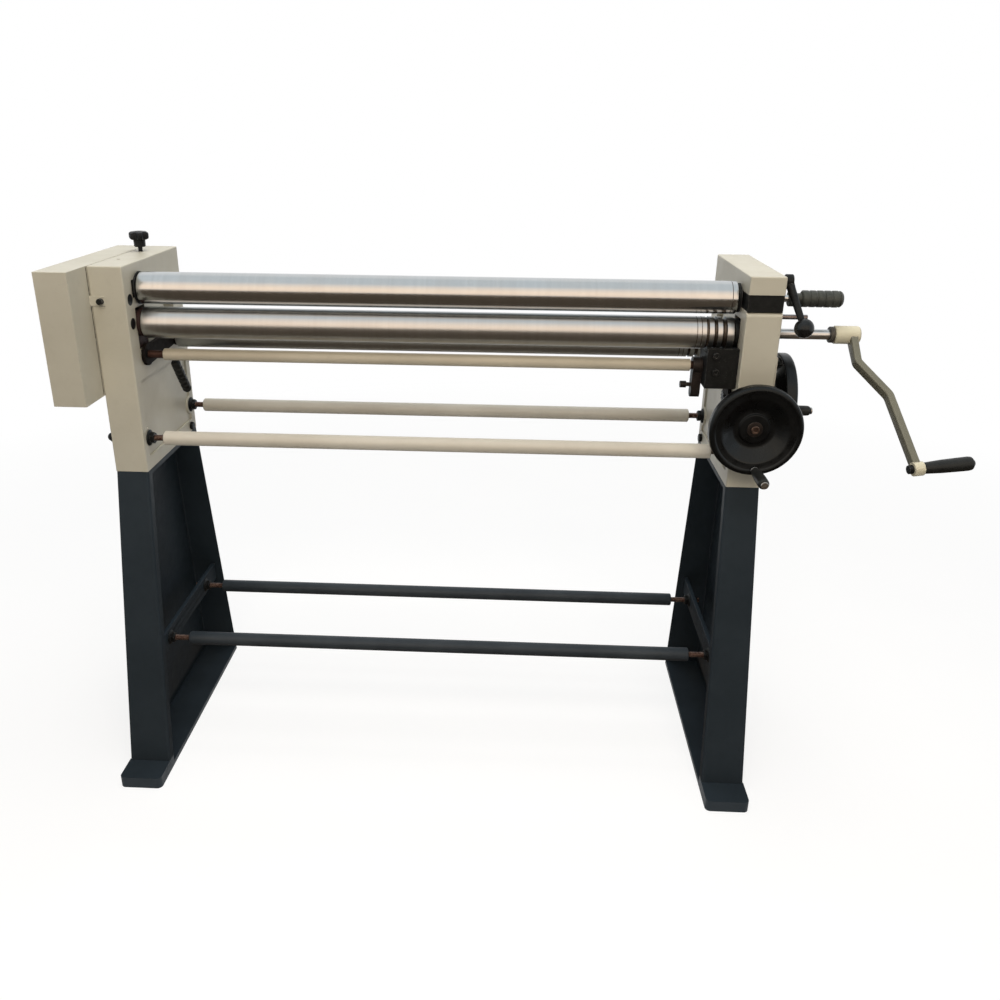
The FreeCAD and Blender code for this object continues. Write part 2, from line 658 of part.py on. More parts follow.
bolts = []
for sign, s in ((-1, "l"), (1, "r")):
    hx = side(sign, "casting_face-8", "casting_face")
    sx = side(sign, "casting_face-4", "casting_face+19")
    bolts.append(join("low_bolt_" + s, [
        hexagon("low_bolt_head_" + s, 19.0, hx[0], hx[1], LOW_BOLT),
        rod("low_bolt_shank_" + s, "bolt_radius", "x", sx[0], sx[1], LOW_BOLT)]))
    mid = "mid_face" if sign > 0 else "-mid_face"
    for k, y in enumerate(BASE_BOLTS):
        head = rod("base_bolt_head%d%s" % (k, s), "10", "z", "casting_base-base_plate-8",
                   "casting_base-base_plate", (mid, y))
        shank = rod("base_bolt_shank%d%s" % (k, s), "bolt_radius", "z", "casting_base-base_plate-2",
                    "casting_base+34", (mid, y))
        bolts.append(join("base_bolt%d%s" % (k, s), [head, shank]))
node(group("frame_bolts", bolts), "frame_bolts")

# ---------------------------------------------------------------- gear cover
outer = span("cover_outer", ("-cover_left", "-cover_right"), ("cover_front", "back_edge"),
             ("cover_floor", "casting_top"))
inner = span("cover_inner", ("-cover_left+cover_sheet", "-cover_right+1"),
             ("cover_front+cover_sheet", "back_edge-cover_sheet"),
             ("cover_floor+cover_sheet", "casting_top-cover_sheet"))
cheek = span("cover_cheek", ("-cover_right-cover_sheet", "-cover_right"),
             ("cover_front", "front_edge-0.5"), ("cover_floor", "casting_top"))
tab = span("cover_tab", ("-cover_right-cover_sheet", "-mid_face-5.5"),
           ("front_edge-0.5-cover_sheet", "front_edge-0.5"), ("upper_height-29", "upper_height-7"))
shell = join("cover_shell", [cut("cover_box", outer, [inner]), cheek, tab])
node(cut("gear_cover", shell, [rod("cover_tab_hole", "3.2", "y", "front_edge-4", "front_edge+1",
                                   COVER_SCREW)]), "gear_cover")
knurl = rod("cover_knurl", "8", "y", "front_edge-14", "front_edge-0.5-cover_sheet", COVER_SCREW)
node(join("cover_screw", [knurl, rod("cover_shank", "3", "y", "front_edge-4", "front_edge+14",
                                     COVER_SCREW)]), "cover_screw")
plugs = [rod("plug%d" % k, repr(PLUG_RADIUS), "x", "-casting_face-7", "-casting_face+0.3", yz)
         for k, yz in enumerate(PLUGS)]
node(group("frame_plugs", plugs), "frame_plugs")

# ---------------------------------------------------------------- right-hand fixed pieces
plate = span("plate_flat", ("out_face", "out_face+4"), ("front_edge+6", "chamber_back+8"),
             ("screw_height-34", "shaft_height+35.5"))
holes = [rod("plate_shaft_hole", "9", "x", "out_face-1", "out_face+5", SIDE_AXIS)]
node(cut("right_side_plate", plate, holes), "right_side_plate")
screws = []
PLATE_SCREWS = [(y, z) for z in ("screw_height-27", "shaft_height+26.5")
                for y in ("front_edge+13", "chamber_back+1")]
for k, (y, z) in enumerate(PLATE_SCREWS):
    screws.append(rod("plate_screw%d" % k, "5", "x", "out_face+4", "out_face+7.5", (y, z)))
node(group("side_plate_screws", screws), "side_plate_screws")
node(join("rest_pin_solid", [
    rod("rest_pin_bar", "5.5", "x", "out_face-18", "out_face+85", REST_AT),
    cone("rest_pin_tip", "5.5", "4.5", "x", "out_face+85", "out_face+86", REST_AT)]), "rest_pin")

BRACKET_Z = ("shaft_height-39.5", "shaft_height+36")
TAPS = (("casting_face-49", "shaft_height+33.5"), ("casting_face-47", "shaft_height-2.5"))
BRACKET_FRONT = "-roll_radius-15"
rear_block = span("bracket_rear", ("casting_face-67", "casting_face-9.5"), ("-roll_radius-3", "30"),
                  BRACKET_Z)
face_block = span("bracket_face", ("casting_face-67", "casting_face"), (BRACKET_FRONT, "-roll_radius-2.5"),
                  (BRACKET_Z[0], "shaft_height+48.5"))
foot_block = span("bracket_foot", ("casting_face-20", "casting_face"), (BRACKET_FRONT, "-31"), BRACKET_Z)
bracket = join("bracket_body", [rear_block, face_block, foot_block])
node(cut("shaft_bracket", bracket, [
    rod("bracket_bore", "shaft_end+running_gap", "x", "casting_face-68", "casting_face-9",
        ("0", "shaft_height")),
    rod("bracket_tap1", "4+fit_gap", "y", BRACKET_FRONT + "-1", BRACKET_FRONT + "+18", TAPS[0]),
    rod("bracket_tap2", "4+fit_gap", "y", BRACKET_FRONT + "-1", BRACKET_FRONT + "+18", TAPS[1])]),
     "shaft_bracket")
screws = []
for k, (x, z) in enumerate(TAPS):
    screws.append(join("bracket_screw%d" % k, [
        rod("bracket_head%d" % k, "7.5", "y", BRACKET_FRONT + "-7", BRACKET_FRONT, (x, z)),
        rod("bracket_shank%d" % k, "4", "y", BRACKET_FRONT + "-2", BRACKET_FRONT + "+16", (x, z))]))
node(group("bracket_screws", screws), "bracket_screws")

bushes = []
for sign, s in ((-1, "l"), (1, "r")):
    xs = side(sign, "casting_face+0.5", "casting_face+wall_inner")
    bushes.append(cut("shaft_bush_" + s, rod("shaft_bush_out_" + s, "bush_radius-fit_gap", "x", xs[0], xs[1],
                                             ("0", "shaft_height")),
                      [rod("shaft_bush_in_" + s, "shaft_end+running_gap", "x", xs[0] + "-1", xs[1] + "+1",
                           ("0", "shaft_height"))]))
bushes.append(cut("wheel_bush", join("wheel_bush_out", [
    rod("wheel_bush_body", "12", "y", "front_edge-1", "front_edge+14", FRONT_AXIS),
    rod("wheel_bush_flange", "17", "y", "front_edge-3", "front_edge", FRONT_AXIS)]),
    [rod("wheel_bush_in", "9+running_gap", "y", "front_edge-4", "front_edge+15", FRONT_AXIS)]))
bushes.append(cut("side_bush", rod("side_bush_out", "11", "x", "casting_face+0.5", "casting_face+wall_inner",
                                   SIDE_AXIS),
                  [rod("side_bush_in", "8+running_gap", "x", "casting_face-1", "casting_face+wall_inner+1",
                       SIDE_AXIS)]))
node(group("shaft_bushes", bushes), "shaft_bushes")

# ---------------------------------------------------------------- lower roll and its drive
GROOVES = (("roll_half-57", "3"), ("roll_half-40", "4"), ("roll_half-21", "5"))


def roll_body(label, y, z):
    """The ground barrel of one roll with softened ends."""
    body = rod(label + "_barrel", "roll_radius", "x", "-roll_half+2", "roll_half-2", (y, z))
    left = cone(label + "_left_end", "roll_radius-2", "roll_radius", "x",
                "-roll_half", "-roll_half+2", (y, z))
    right = cone(label + "_right_end", "roll_radius", "roll_radius-2", "x",
                 "roll_half-2", "roll_half", (y, z))
    return [body, left, right]


def grooved(label, solid, y, z):
    """The three wire grooves and two fine turned lines near the crank end."""
    rings = [ring_groove("%s_groove%d" % (label, k), "roll_radius", r, x, z, y)
             for k, (x, r) in enumerate(GROOVES)]
    rings += [ring_groove("%s_line%d" % (label, k), "roll_radius", "0.7", x, z, y)
              for k, x in enumerate(("roll_half-80", "roll_half-70"))]
    return cut(label, solid, rings)


low = ("0", "lower_height")
solid = join("lower_roll_solid", roll_body("lower_roll", *low) + [
    rod("lower_journal_l", "journal_radius", "x", "-out_face-journal_tail", "-roll_half", low),
    rod("lower_journal_r", "journal_radius", "x", "roll_half", "out_face+1", low),
    rod("lower_drive", "drive_radius", "x", "out_face", "out_face+drive_reach", low)])
node(grooved("lower_roll", solid, *low), "lower_roll")

CAM_DIP = repr(round(math.sin(math.radians(D["rock_half"])), 9))
CAM_TOP = "shaft_height-" + CAM_DIP + "*cam_throw+cam_radius"
for sign, label in ((-1, "lower_left_block"), (1, "lower_right_block")):
    xs = side(sign, "casting_face+1", "out_face-1.5")
    block = span(label + "_block", xs, ("-guide_half+slide_gap", "guide_half-slide_gap"),
                 ("%s+0.256" % CAM_TOP, "lower_height+27"))
    nx = side(sign, "casting_face-0.6", "casting_face+2")
    neck = rod(label + "_neck", "journal_radius+5", "x", nx[0], nx[1], low)
    rx = side(sign, "roll_half+1.5", "casting_face-0.5")
    disc = rod(label + "_disc", "roll_radius-3.2", "x", rx[0], rx[1], low)
    bx = side(sign, "casting_face-10", "out_face")
    node(cut(label, join(label + "_body", [block, neck, disc]), [
        rod(label + "_bore", "journal_radius+running_gap", "x", bx[0], bx[1], low)]), label)


def spur_gear(label, z, first_angle, shaft):
    """One of the pair of roll gears, bored for its journal, with a keyway boss."""
    body = new_body(label + "_teeth")
    teeth = int(D["gear_teeth"])
    module = 2.0 * D["roll_radius"] / teeth
    pts = tooth_points(module, teeth, module, module * 1.22, D["gear_slack"], first_angle, teeth)
    sk = outline(body, label + "_profile", "YZ_Plane", pts)
    pad(body, sk, "gear_width", label + "_pad")
    place(body, ["-gear_mid-gear_width/2", "0", z])
    boss = rod(label + "_boss", "22", "x", "-gear_mid+gear_width/2-1", "-gear_mid+gear_width/2+7", ("0", z))
    return cut(label, join(label + "_solid", [body, boss]), [
        rod(label + "_bore", shaft + "+fit_gap", "x", "-gear_mid-20", "-gear_mid+25", ("0", z))])


node(spur_gear("lower_gear", "lower_height", 90.0, "journal_radius"), "lower_gear")

# crank, drawn hanging straight down and then leaned towards the front
crank_turn = Rotation(V(1, 0, 0), -D["crank_lean"])
DRIVE_END = value("out_face+drive_reach")
CRANK_PATH = ((DRIVE_END + 3.0, -10.0), (DRIVE_END + 3.0, -D["crank_neck"]),
              (DRIVE_END + D["crank_knee_out"], -D["crank_knee_drop"]),
              (DRIVE_END + D["crank_tip_out"], -D["crank_throw"]))
EYE_BACK = D["crank_bar"] / 2.0 + 0.5


def crank_place(obj, along=0.0):
    """Stand a crank piece, drawn about the roll axis, at its lean."""
    place(obj, [repr(along), "0", "lower_height"], crank_turn)
    return obj


def offset_path(path, half):
    """Both edges of a bent flat bar of a given half thickness."""
    sides = []
    for sgn in (1.0, -1.0):
        pts = []
        for i, p in enumerate(path):
            dirs = []
            if i > 0:
                dirs.append((p[0] - path[i - 1][0], p[1] - path[i - 1][1]))
            if i < len(path) - 1:
                dirs.append((path[i + 1][0] - p[0], path[i + 1][1] - p[1]))
            units = [(a / math.hypot(a, b), b / math.hypot(a, b)) for a, b in dirs]
            nx = sum(-u[1] for u in units) / len(units)
            nz = sum(u[0] for u in units) / len(units)
            size = nx * nx + nz * nz
            pts.append((p[0] + sgn * half * nx / size, p[1] + sgn * half * nz / size))
        sides.append(pts)
    return sides[0] + list(reversed(sides[1]))


def crank_axis():
    """Where the grip's axis starts and which way it runs, in the crank's own plane."""
    (ax, az), (bx, bz) = CRANK_PATH[-2], CRANK_PATH[-1]
    size = math.hypot(bx - ax, bz - az)
    dx, dz = (bx - ax) / size, (bz - az) / size
    return V(bx, 0, bz), V(-dz, 0, dx)


def crank_round(label, radius, start, end, radius2=None):
    """A round piece on the grip's axis, from start to end along it."""
    base, way = crank_axis()
    kind = "Part::Cylinder" if radius2 is None else "Part::Cone"
    obj = doc.addObject(kind, label)
    if radius2 is None:
        obj.Radius = radius
    else:
        obj.Radius1, obj.Radius2 = radius, radius2
    obj.Height = end - start
    here = Placement(base + way * start, Rotation(V(0, 0, 1), way))
    obj.Placement = Placement(V(0, 0, value("lower_height")), crank_turn).multiply(here)
    return obj


bar = new_body("crank_bar_body")
sk = outline(bar, "crank_bar_profile", "XZ_Plane", offset_path(CRANK_PATH, D["crank_bar"] / 2.0))
pad(bar, sk, "crank_width", "crank_bar_pad", True)
crank_place(bar)
hub = rod("crank_hub", "drive_radius+6.5", "x", "out_face+drive_reach-36", "out_face+drive_reach+18", low)
crank = join("crank_solid", [hub, bar, crank_round("crank_eye", 14.5, -EYE_BACK, 13.0)])
node(cut("crank_arm", crank, [
    rod("crank_hub_bore", "drive_radius+fit_gap", "x", "out_face+drive_reach-37",
        "out_face+drive_reach+1", low),
    crank_round("crank_eye_bore", 5.0 + D["fit_gap"], -12.0, 20.0)]), "crank_arm")
COLLAR = ("out_face+drive_reach-47", "out_face+drive_reach-36.5")
node(cut("crank_collar", rod("crank_collar_out", "drive_radius+9", "x", COLLAR[0], COLLAR[1], low),
         [rod("crank_collar_in", "drive_radius+fit_gap", "x", COLLAR[0] + "-1", COLLAR[1] + "+1", low)]),
     "crank_collar")
GRIP_FOOT = 14.0
GRIP_END = GRIP_FOOT + D["crank_grip_length"]
node(join("crank_grip_bolt", [crank_round("crank_bolt_head", 9.5, -EYE_BACK - 9.0, -EYE_BACK),
                              crank_round("crank_bolt_shank", 5.0, -EYE_BACK - 2.0, GRIP_END + 3.0),
                              crank_round("crank_bolt_end", 7.0, GRIP_END + 0.4, GRIP_END + 4.0)]),
     "crank_grip_bolt")
grip = join("crank_grip_solid", [crank_round("crank_grip_a", 11.5, GRIP_FOOT, 45.0, 13.5),
                                 crank_round("crank_grip_b", 13.5, 45.0, GRIP_END - 7.0, 14.5),
                                 crank_round("crank_grip_c", 14.5, GRIP_END - 7.0, GRIP_END, 12.0)])
node(cut("crank_grip", grip, [crank_round("crank_grip_bore", 5.0 + D["running_gap"], GRIP_FOOT - 1.0,
                                          GRIP_END + 1.0)]), "crank_grip")

# ---------------------------------------------------------------- upper roll
up = ("0", "upper_height")
solid = join("upper_roll_solid", roll_body("upper_roll", *up) + [
    rod("upper_journal_l", "upper_journal", "x", "-out_face-journal_tail", "-roll_half", up),
    rod("upper_journal_r", "upper_end", "x", "roll_half", "out_face+6", up),
    rod("upper_tail", "tail_radius", "x", "out_face+5", "out_face+67", up)])
node(cut("upper_roll", solid, [
    ring_groove("upper_line", "roll_radius", "0.7", "roll_half-13", "upper_height")]), "upper_roll")
block = span("ulb_block", ("-out_face+2", "-casting_face-1"), ("-17", "20"),
             ("upper_height-19.7", "upper_height+19.7"))
neck = rod("ulb_neck", "upper_journal+2.3", "x", "-casting_face-2", "-casting_face+6", up)
disc = rod("ulb_disc", "roll_radius+1", "x", "-casting_face+5", "-roll_half-1.5", up)
node(cut("upper_left_block", join("ulb_body", [block, neck, disc]), [
    rod("ulb_bore", "upper_journal+running_gap", "x", "-out_face+1", "-roll_half", up)]), "upper_left_block")
block = span("urb_block", ("casting_face+1", "out_face-1"), ("front_edge+1.5", "16"),
             ("upper_height-17.7", "upper_height+17.7"))
neck = rod("urb_neck", "upper_end+4.5", "x", "casting_face-4", "casting_face+3", up)
disc = rod("urb_disc", "roll_radius-4", "x", "roll_half+1.5", "casting_face-3", up)
node(cut("upper_right_block", join("urb_body", [block, neck, disc]), [
    rod("urb_bore", "upper_end+running_gap", "x", "roll_half", "out_face", up)]), "upper_right_block")
node(spur_gear("upper_gear", "upper_height", 90.0 + 180.0 / D["gear_teeth"], "upper_journal"),
     "upper_gear")
parts = [rod("pull_flange", "17", "x", "out_face+27", "out_face+41", up),
         rod("pull_neck", "11.5", "x", "out_face+40", "out_face+54", up),
         cone("pull_start", "14.5", "17.8", "x", "out_face+53", "out_face+57", up),
         rod("pull_body", "17.8", "x", "out_face+57", "out_face+135", up),
         cone("pull_end", "17.8", "13", "x", "out_face+135", "out_face+141", up)]
rings = [ring_groove("pull_ring%d" % k, "18.6", "1.8", "out_face+%d" % (69 + 16 * k), "upper_height")
         for k in range(4)]
node(cut("pull_grip", join("pull_solid", parts), rings + [
    rod("pull_bore", "tail_radius+fit_gap", "x", "out_face+26", "out_face+68", up)]), "pull_grip")

# ---------------------------------------------------------------- cross shaft
sh = ("0", "shaft_height")
LEVER_X, LEVER_LEAN = -value("casting_face-60"), D["lever_lean"]
LEVER_END = D["lever_length"]


def lever_round(label, radius, start, end, radius2=None):
    """A round piece of the shaft lever, measured out from the shaft's axis."""
    way = V(0, math.sin(math.radians(LEVER_LEAN)), -math.cos(math.radians(LEVER_LEAN)))
    obj = doc.addObject("Part::Cylinder" if radius2 is None else "Part::Cone", label)
    if radius2 is None:
        obj.Radius = radius
    else:
        obj.Radius1, obj.Radius2 = radius, radius2
    obj.Height = end - start
    foot = V(LEVER_X, 0, value("shaft_height"))
    obj.Placement = Placement(foot + way * start, Rotation(V(0, 0, 1), way))
    return obj


outer = rod("cross_outer", "shaft_tube", "x", "-casting_face+44", "casting_face-93", sh)
node(cut("cross_shaft", outer, [rod("cross_bore", "shaft_end+fit_gap", "x", "-casting_face+43",
                                    "casting_face-92", sh),
                                lever_round("cross_hole", 5.0 + D["fit_gap"], 8.0, 20.0)]), "cross_shaft")
node(group("cross_shaft_ends", [
    rod("cross_end_l", "shaft_end", "x", "-out_face+19", "-casting_face+120", sh),
    rod("cross_end_r", "shaft_end", "x", "casting_face-160", "out_face-19", sh)]),
     "cross_shaft_ends")
cams = []
rest = math.radians(D["rock_half"])
cam_yz = (repr(round(math.cos(rest), 9)) + "*cam_throw",
          "shaft_height-" + repr(round(math.sin(rest), 9)) + "*cam_throw")
for sign, s in ((-1, "l"), (1, "r")):
    xs = side(sign, "casting_face+wall_inner+4", "casting_face+wall_inner+18")
    cams.append(cut("cam_" + s, rod("cam_out_" + s, "cam_radius", "x", xs[0], xs[1], cam_yz),
                    [rod("cam_in_" + s, "shaft_end+fit_gap", "x", xs[0] + "-1", xs[1] + "+1", sh)]))
node(group("lift_cams", cams), "lift_cams")
down = math.radians(-90.0 - D["rock_half"])
pin_yz = (repr(round(math.cos(down), 9)) + "*rocker_pin",
          "shaft_height-" + repr(round(-math.sin(down), 9)) + "*rocker_pin")
arm_slab = doc.addObject("Part::Box", "rocker_slab")
bind(arm_slab, "Length", "7")
bind(arm_slab, "Width", "16")
bind(arm_slab, "Height", "rocker_pin")
ROCKER = ("casting_face+wall_inner+20", "casting_face+wall_inner+27")
arm_slab.Placement = Placement(V(value(ROCKER[0]), 0, value("shaft_height")),
                               Rotation(V(1, 0, 0), -D["rock_half"])).multiply(
    Placement(V(0, -8, -D["rocker_pin"]), Rotation()))
rocker = join("rocker_solid", [rod("rocker_hub", "16", "x", ROCKER[0], ROCKER[1], sh), arm_slab,
                               rod("rocker_eye", "8", "x", ROCKER[0], ROCKER[1], pin_yz),
                               rod("rocker_peg", "4", "x", ROCKER[1] + "-1", ROCKER[1] + "+9", pin_yz)])
node(cut("lift_rocker", rocker, [rod("rocker_bore", "shaft_end+fit_gap", "x", ROCKER[0] + "-1",
                                     ROCKER[1] + "+1", sh)]),
     "lift_rocker")
STOP_X = ("casting_face-88", "casting_face-68")
STOP_BOLT = ("0", "shaft_height-44.5")
hub = rod("stop_hub", "19", "x", STOP_X[0], STOP_X[1], sh)
strip = span("stop_strip", STOP_X, ("-12", "12"), ("shaft_height-60.5", "shaft_height"))
toe = rod("stop_toe", "12", "x", STOP_X[0], STOP_X[1], ("0", "shaft_height-60.5"))
stop = join("stop_solid", [hub, strip, toe,
                           rod("stop_shank", "4.5", "x", STOP_X[0] + "-17", STOP_X[0] + "+1", STOP_BOLT),
                           rod("stop_head", "7.5", "x", STOP_X[0] + "-23", STOP_X[0] + "-10", STOP_BOLT)])
node(cut("stop_arm", stop, [rod("stop_bore", "shaft_end+fit_gap", "x", STOP_X[0] + "-1", STOP_X[1] + "+1",
                                sh)]), "stop_arm")
lever = join("lever_solid", [lever_round("lever_stem", 5.0, D["shaft_end"] + 0.5, LEVER_END - 2.0),
                             lever_round("lever_neck", 8.0, 24.0, 30.0, 10.5),
                             lever_round("lever_grip", 10.5, 30.0, LEVER_END - 6.0),
                             lever_round("lever_tip", 10.5, LEVER_END - 6.0, LEVER_END, 7.0)])
rings = []
for k in range(5):
    ring = doc.addObject("Part::Torus", "lever_ring%d" % k)
    ring.Radius1, ring.Radius2 = 11.0, 1.4
    way = V(0, math.sin(math.radians(LEVER_LEAN)), -math.cos(math.radians(LEVER_LEAN)))
    ring.Placement = Placement(V(LEVER_X, 0, value("shaft_height")) + way * (42.0 + 16.0 * k),
                               Rotation(V(0, 0, 1), way))
    rings.append(ring)
node(cut("shaft_lever", lever, rings), "shaft_lever")

# ---------------------------------------------------------------- lift nut and front wheel
nut_mid = "-" + repr(round(math.cos(math.radians(90.0 - D["rock_half"])), 9)) + "*rocker_pin"
POST = (ROCKER[1] + "+1.5", ROCKER[1] + "+8.5")
nut_block = span("nut_block", ("mid_face-13.5", POST[1]), (nut_mid + "-12", nut_mid + "+12"),
                 ("screw_height-12.5", "screw_height+12.5"))
post = span("nut_post", POST, (nut_mid + "-8", nut_mid + "+8"),
            ("screw_height", "shaft_height-rocker_pin+12.5"))
fork = span("nut_fork", (POST[0] + "-0.5", POST[1] + "+0.5"), (nut_mid + "-4.6", nut_mid + "+4.6"),
            ("shaft_height-rocker_pin-6.5", "shaft_height-rocker_pin+13.5"))
node(cut("lift_nut", join("nut_solid", [nut_block, post]), [
    rod("nut_bore", "8+running_gap", "y", nut_mid + "-30", nut_mid + "+30", FRONT_AXIS), fork]), "lift_nut")

WHEEL = (("9", "4"), ("24", "4"), ("24", "0"), ("42", "0"), ("72", "21"), ("wheel_radius-12", "24"),
         ("wheel_radius-4", "22.5"), ("wheel_radius", "17"), ("wheel_radius", "4"),
         ("wheel_radius-3", "-1"), ("wheel_radius-9", "-2"), ("wheel_radius-12", "3"),
         ("wheel_radius-14", "14"), ("74", "14"), ("45", "-7"), ("24", "-7"), ("24", "-26"), ("9", "-26"))


def handwheel(label, pos, axis, grip_hole):
    """A dished disc wheel turned about its own axis, drilled for its grip spindle."""
    return cut(label, turned(label + "_disc", WHEEL, pos, axis), [grip_hole])


def grip_shape(label, axis, sign, base, across):
    """A turned wheel grip: waist, swell and rounded end, bored for its spindle."""
    end = D["grip_length"]
    steps = ((4.0, 8.0, 9.5), (8.0, 30.0, 11.0), (30.0, end - 14.0, 12.0), (end - 14.0, end - 4.0, 11.5),
             (end - 4.0, end, 9.0))
    parts, radius = [], 8.5
    for k, (a, b, r) in enumerate(steps):
        lo, hi = (base + sign * a, base + sign * b)
        if sign > 0:
            parts.append(cone("%s_%d" % (label, k), repr(radius), repr(r), axis, repr(lo), repr(hi), across))
        else:
            parts.append(cone("%s_%d" % (label, k), repr(r), repr(radius), axis, repr(hi), repr(lo), across))
        radius = r
    lo, hi = sorted((base + sign * 3.0, base + sign * (end + 1.0)))
    return cut(label, join(label + "_solid", parts), [
        rod(label + "_bore", "5+running_gap", axis, repr(lo), repr(hi), across)])


def spindle(label, axis, sign, base, across):
    """The spindle of a wheel grip, from the rim to a domed end screw."""
    def both(a, b):
        lo, hi = sorted((base + sign * a, base + sign * b))
        return repr(lo), repr(hi)
    end = D["grip_length"]
    stem = rod(label + "_stem", "5", axis, *both(-9.0, end + 1.0), across)
    shoulder = rod(label + "_shoulder", "8.5", axis, *both(0.0, 3.6), across)
    head = rod(label + "_head", "8", axis, *both(end + 0.4, end + 4.4), across)
    return join(label, [stem, shoulder, head])


front_grip = ("mid_face+5", "screw_height-grip_circle+0.14")
node(handwheel("front_wheel", ["mid_face", "wheel_face", "screw_height"], "-y",
               rod("front_wheel_hole", "5+fit_gap", "y", "wheel_face-30", "wheel_face", front_grip)),
     "front_wheel")
node(join("front_wheel_screw", [
    rod("front_shaft", "9", "y", "wheel_face-4", "front_edge+14.5", FRONT_AXIS),
    rod("front_thread", "8", "y", "front_edge+14", "chamber_back-2", FRONT_AXIS),
    rod("front_tail", "6", "y", "chamber_back-3", "chamber_back+8", FRONT_AXIS)]), "front_wheel_screw")
wheel_nut = join("front_nut_solid", [
    rod("front_washer", "17", "y", "wheel_face-7", "wheel_face-4", FRONT_AXIS),
    rod("front_bolt", "9", "y", "wheel_face-13", "wheel_face-6.5", FRONT_AXIS)])
node(cut("front_wheel_nut", wheel_nut, [
    rod("front_socket", "4.5", "y", "wheel_face-14", "wheel_face-9", FRONT_AXIS)]), "front_wheel_nut")
FRONT_RIM, SIDE_RIM = value("wheel_face-24"), value("side_face+24")
node(grip_shape("front_wheel_grip", "y", -1.0, FRONT_RIM, front_grip), "front_wheel_grip")
node(spindle("front_grip_spindle", "y", -1.0, FRONT_RIM, front_grip), "front_grip_spindle")

# ---------------------------------------------------------------- side wheel
side_grip = (SIDE_AXIS[0] + "+0.8*grip_circle", SIDE_AXIS[1] + "-0.6*grip_circle")
node(handwheel("side_wheel", ["side_face", SIDE_AXIS[0], SIDE_AXIS[1]], "x",
               rod("side_wheel_hole", "5+fit_gap", "x", "side_face", "side_face+30", side_grip)),
     "side_wheel")
pinion = new_body("pinion_teeth_body")
teeth = int(D["pinion_teeth"])
pts = tooth_points(D["pinion_module"], teeth, D["pinion_module"], 3.1, 0.55,
                   D["pinion_angle"] + 180.0, teeth)
sk = outline(pinion, "pinion_profile", "YZ_Plane", pts)
pad(pinion, sk, "8", "pinion_pad")
place(pinion, ["casting_face-8.6", SIDE_AXIS[0], SIDE_AXIS[1]])
node(join("side_wheel_shaft", [
    pinion, rod("side_shaft_bar", "8", "x", "casting_face-8", "out_face+8", SIDE_AXIS),
    rod("side_shaft_seat", "9", "x", "out_face+7", "side_face+4", SIDE_AXIS)]), "side_wheel_shaft")
wheel_nut = join("side_nut_solid", [
    rod("side_washer", "17", "x", "side_face+4", "side_face+7", SIDE_AXIS),
    rod("side_bolt", "9", "x", "side_face+6.5", "side_face+13", SIDE_AXIS)])
node(cut("side_wheel_nut", wheel_nut, [
    rod("side_socket", "4.5", "x", "side_face+9", "side_face+14", SIDE_AXIS)]), "side_wheel_nut")
node(grip_shape("side_wheel_grip", "x", 1.0, SIDE_RIM, side_grip), "side_wheel_grip")
node(spindle("side_grip_spindle", "x", 1.0, SIDE_RIM, side_grip), "side_grip_spindle")

# ---------------------------------------------------------------- rear roll and swing arms
rear_ang = math.radians(D["rear_rest_angle"])
REAR = (repr(round(math.cos(rear_ang), 9)) + "*rear_reach",
        "shaft_height+" + repr(round(math.sin(rear_ang), 9)) + "*rear_reach")
solid = join("rear_roll_solid", roll_body("rear_roll", *REAR) + [
    rod("rear_journal_l", "rear_journal", "x", "-casting_face-28", "-roll_half", REAR),
    rod("rear_journal_r", "rear_journal", "x", "roll_half", "casting_face+28", REAR)])
node(grooved("rear_roll", solid, *REAR), "rear_roll")


def rear_arm(sign, label):
    """One swing arm: hub on the cross shaft, tapering web, bearing boss for the rear roll."""
    thick = side(sign, "casting_face-8.5", "casting_face-0.5")
    body = new_body(label + "_web")
    ca, sa = math.cos(rear_ang), math.sin(rear_ang)
    reach = D["rear_reach"]
    pts = []
    for a, b in ((0.0, -24.0), (reach * 0.85, -20.0), (reach * 0.85, 20.0), (0.0, 20.0)):
        pts.append((a * ca - b * sa, a * sa + b * ca))
    sk = outline(body, label + "_profile", "YZ_Plane", pts)
    pad(body, sk, "8", label + "_pad")
    place(body, [thick[0], "0", "shaft_height"])
    parts = [body, rod(label + "_hub", "25.5", "x", thick[0], thick[1], sh),
             rod(label + "_end", "30", "x", thick[0], thick[1], REAR)]
    bx = side(sign, "casting_face-4", "casting_face+29")
    parts.append(rod(label + "_boss", "22", "x", bx[0], bx[1], REAR))
    if sign > 0:
        sector = new_body(label + "_sector")
        step = 360.0 / D["sector_teeth"]
        count = 8
        first = D["pinion_angle"] + 0.5 * step - (count - 2) * step
        pts = tooth_points(D["pinion_module"], D["sector_teeth"], 2.0, 3.2, 0.55, first, count)
        lo, hi = math.radians(first - 0.7 * step), math.radians(first + (count - 0.3) * step)
        root = D["pinion_module"] * D["sector_teeth"] / 2.0 - 3.2
        pts = [(12.0 * math.cos(lo), 12.0 * math.sin(lo)), (root * math.cos(lo), root * math.sin(lo))] \
            + pts + [(root * math.cos(hi), root * math.sin(hi)), (12.0 * math.cos(hi), 12.0 * math.sin(hi))]
        sk = outline(sector, label + "_teeth", "YZ_Plane", pts)
        pad(sector, sk, "8", label + "_sector_pad")
        place(sector, [thick[0], "0", "shaft_height"])
        parts.append(sector)
    hx = side(sign, "casting_face-10", "casting_face+1")
    jx = side(sign, "casting_face-10", "casting_face+30")
    return cut(label, join(label + "_solid", parts), [
        rod(label + "_hub_bore", "shaft_end+running_gap", "x", hx[0], hx[1], sh),
        rod(label + "_end_bore", "rear_journal+running_gap", "x", jx[0], jx[1], REAR)])


node(rear_arm(-1, "rear_left_arm"), "rear_left_arm")
node(rear_arm(1, "rear_right_arm"), "rear_right_arm")

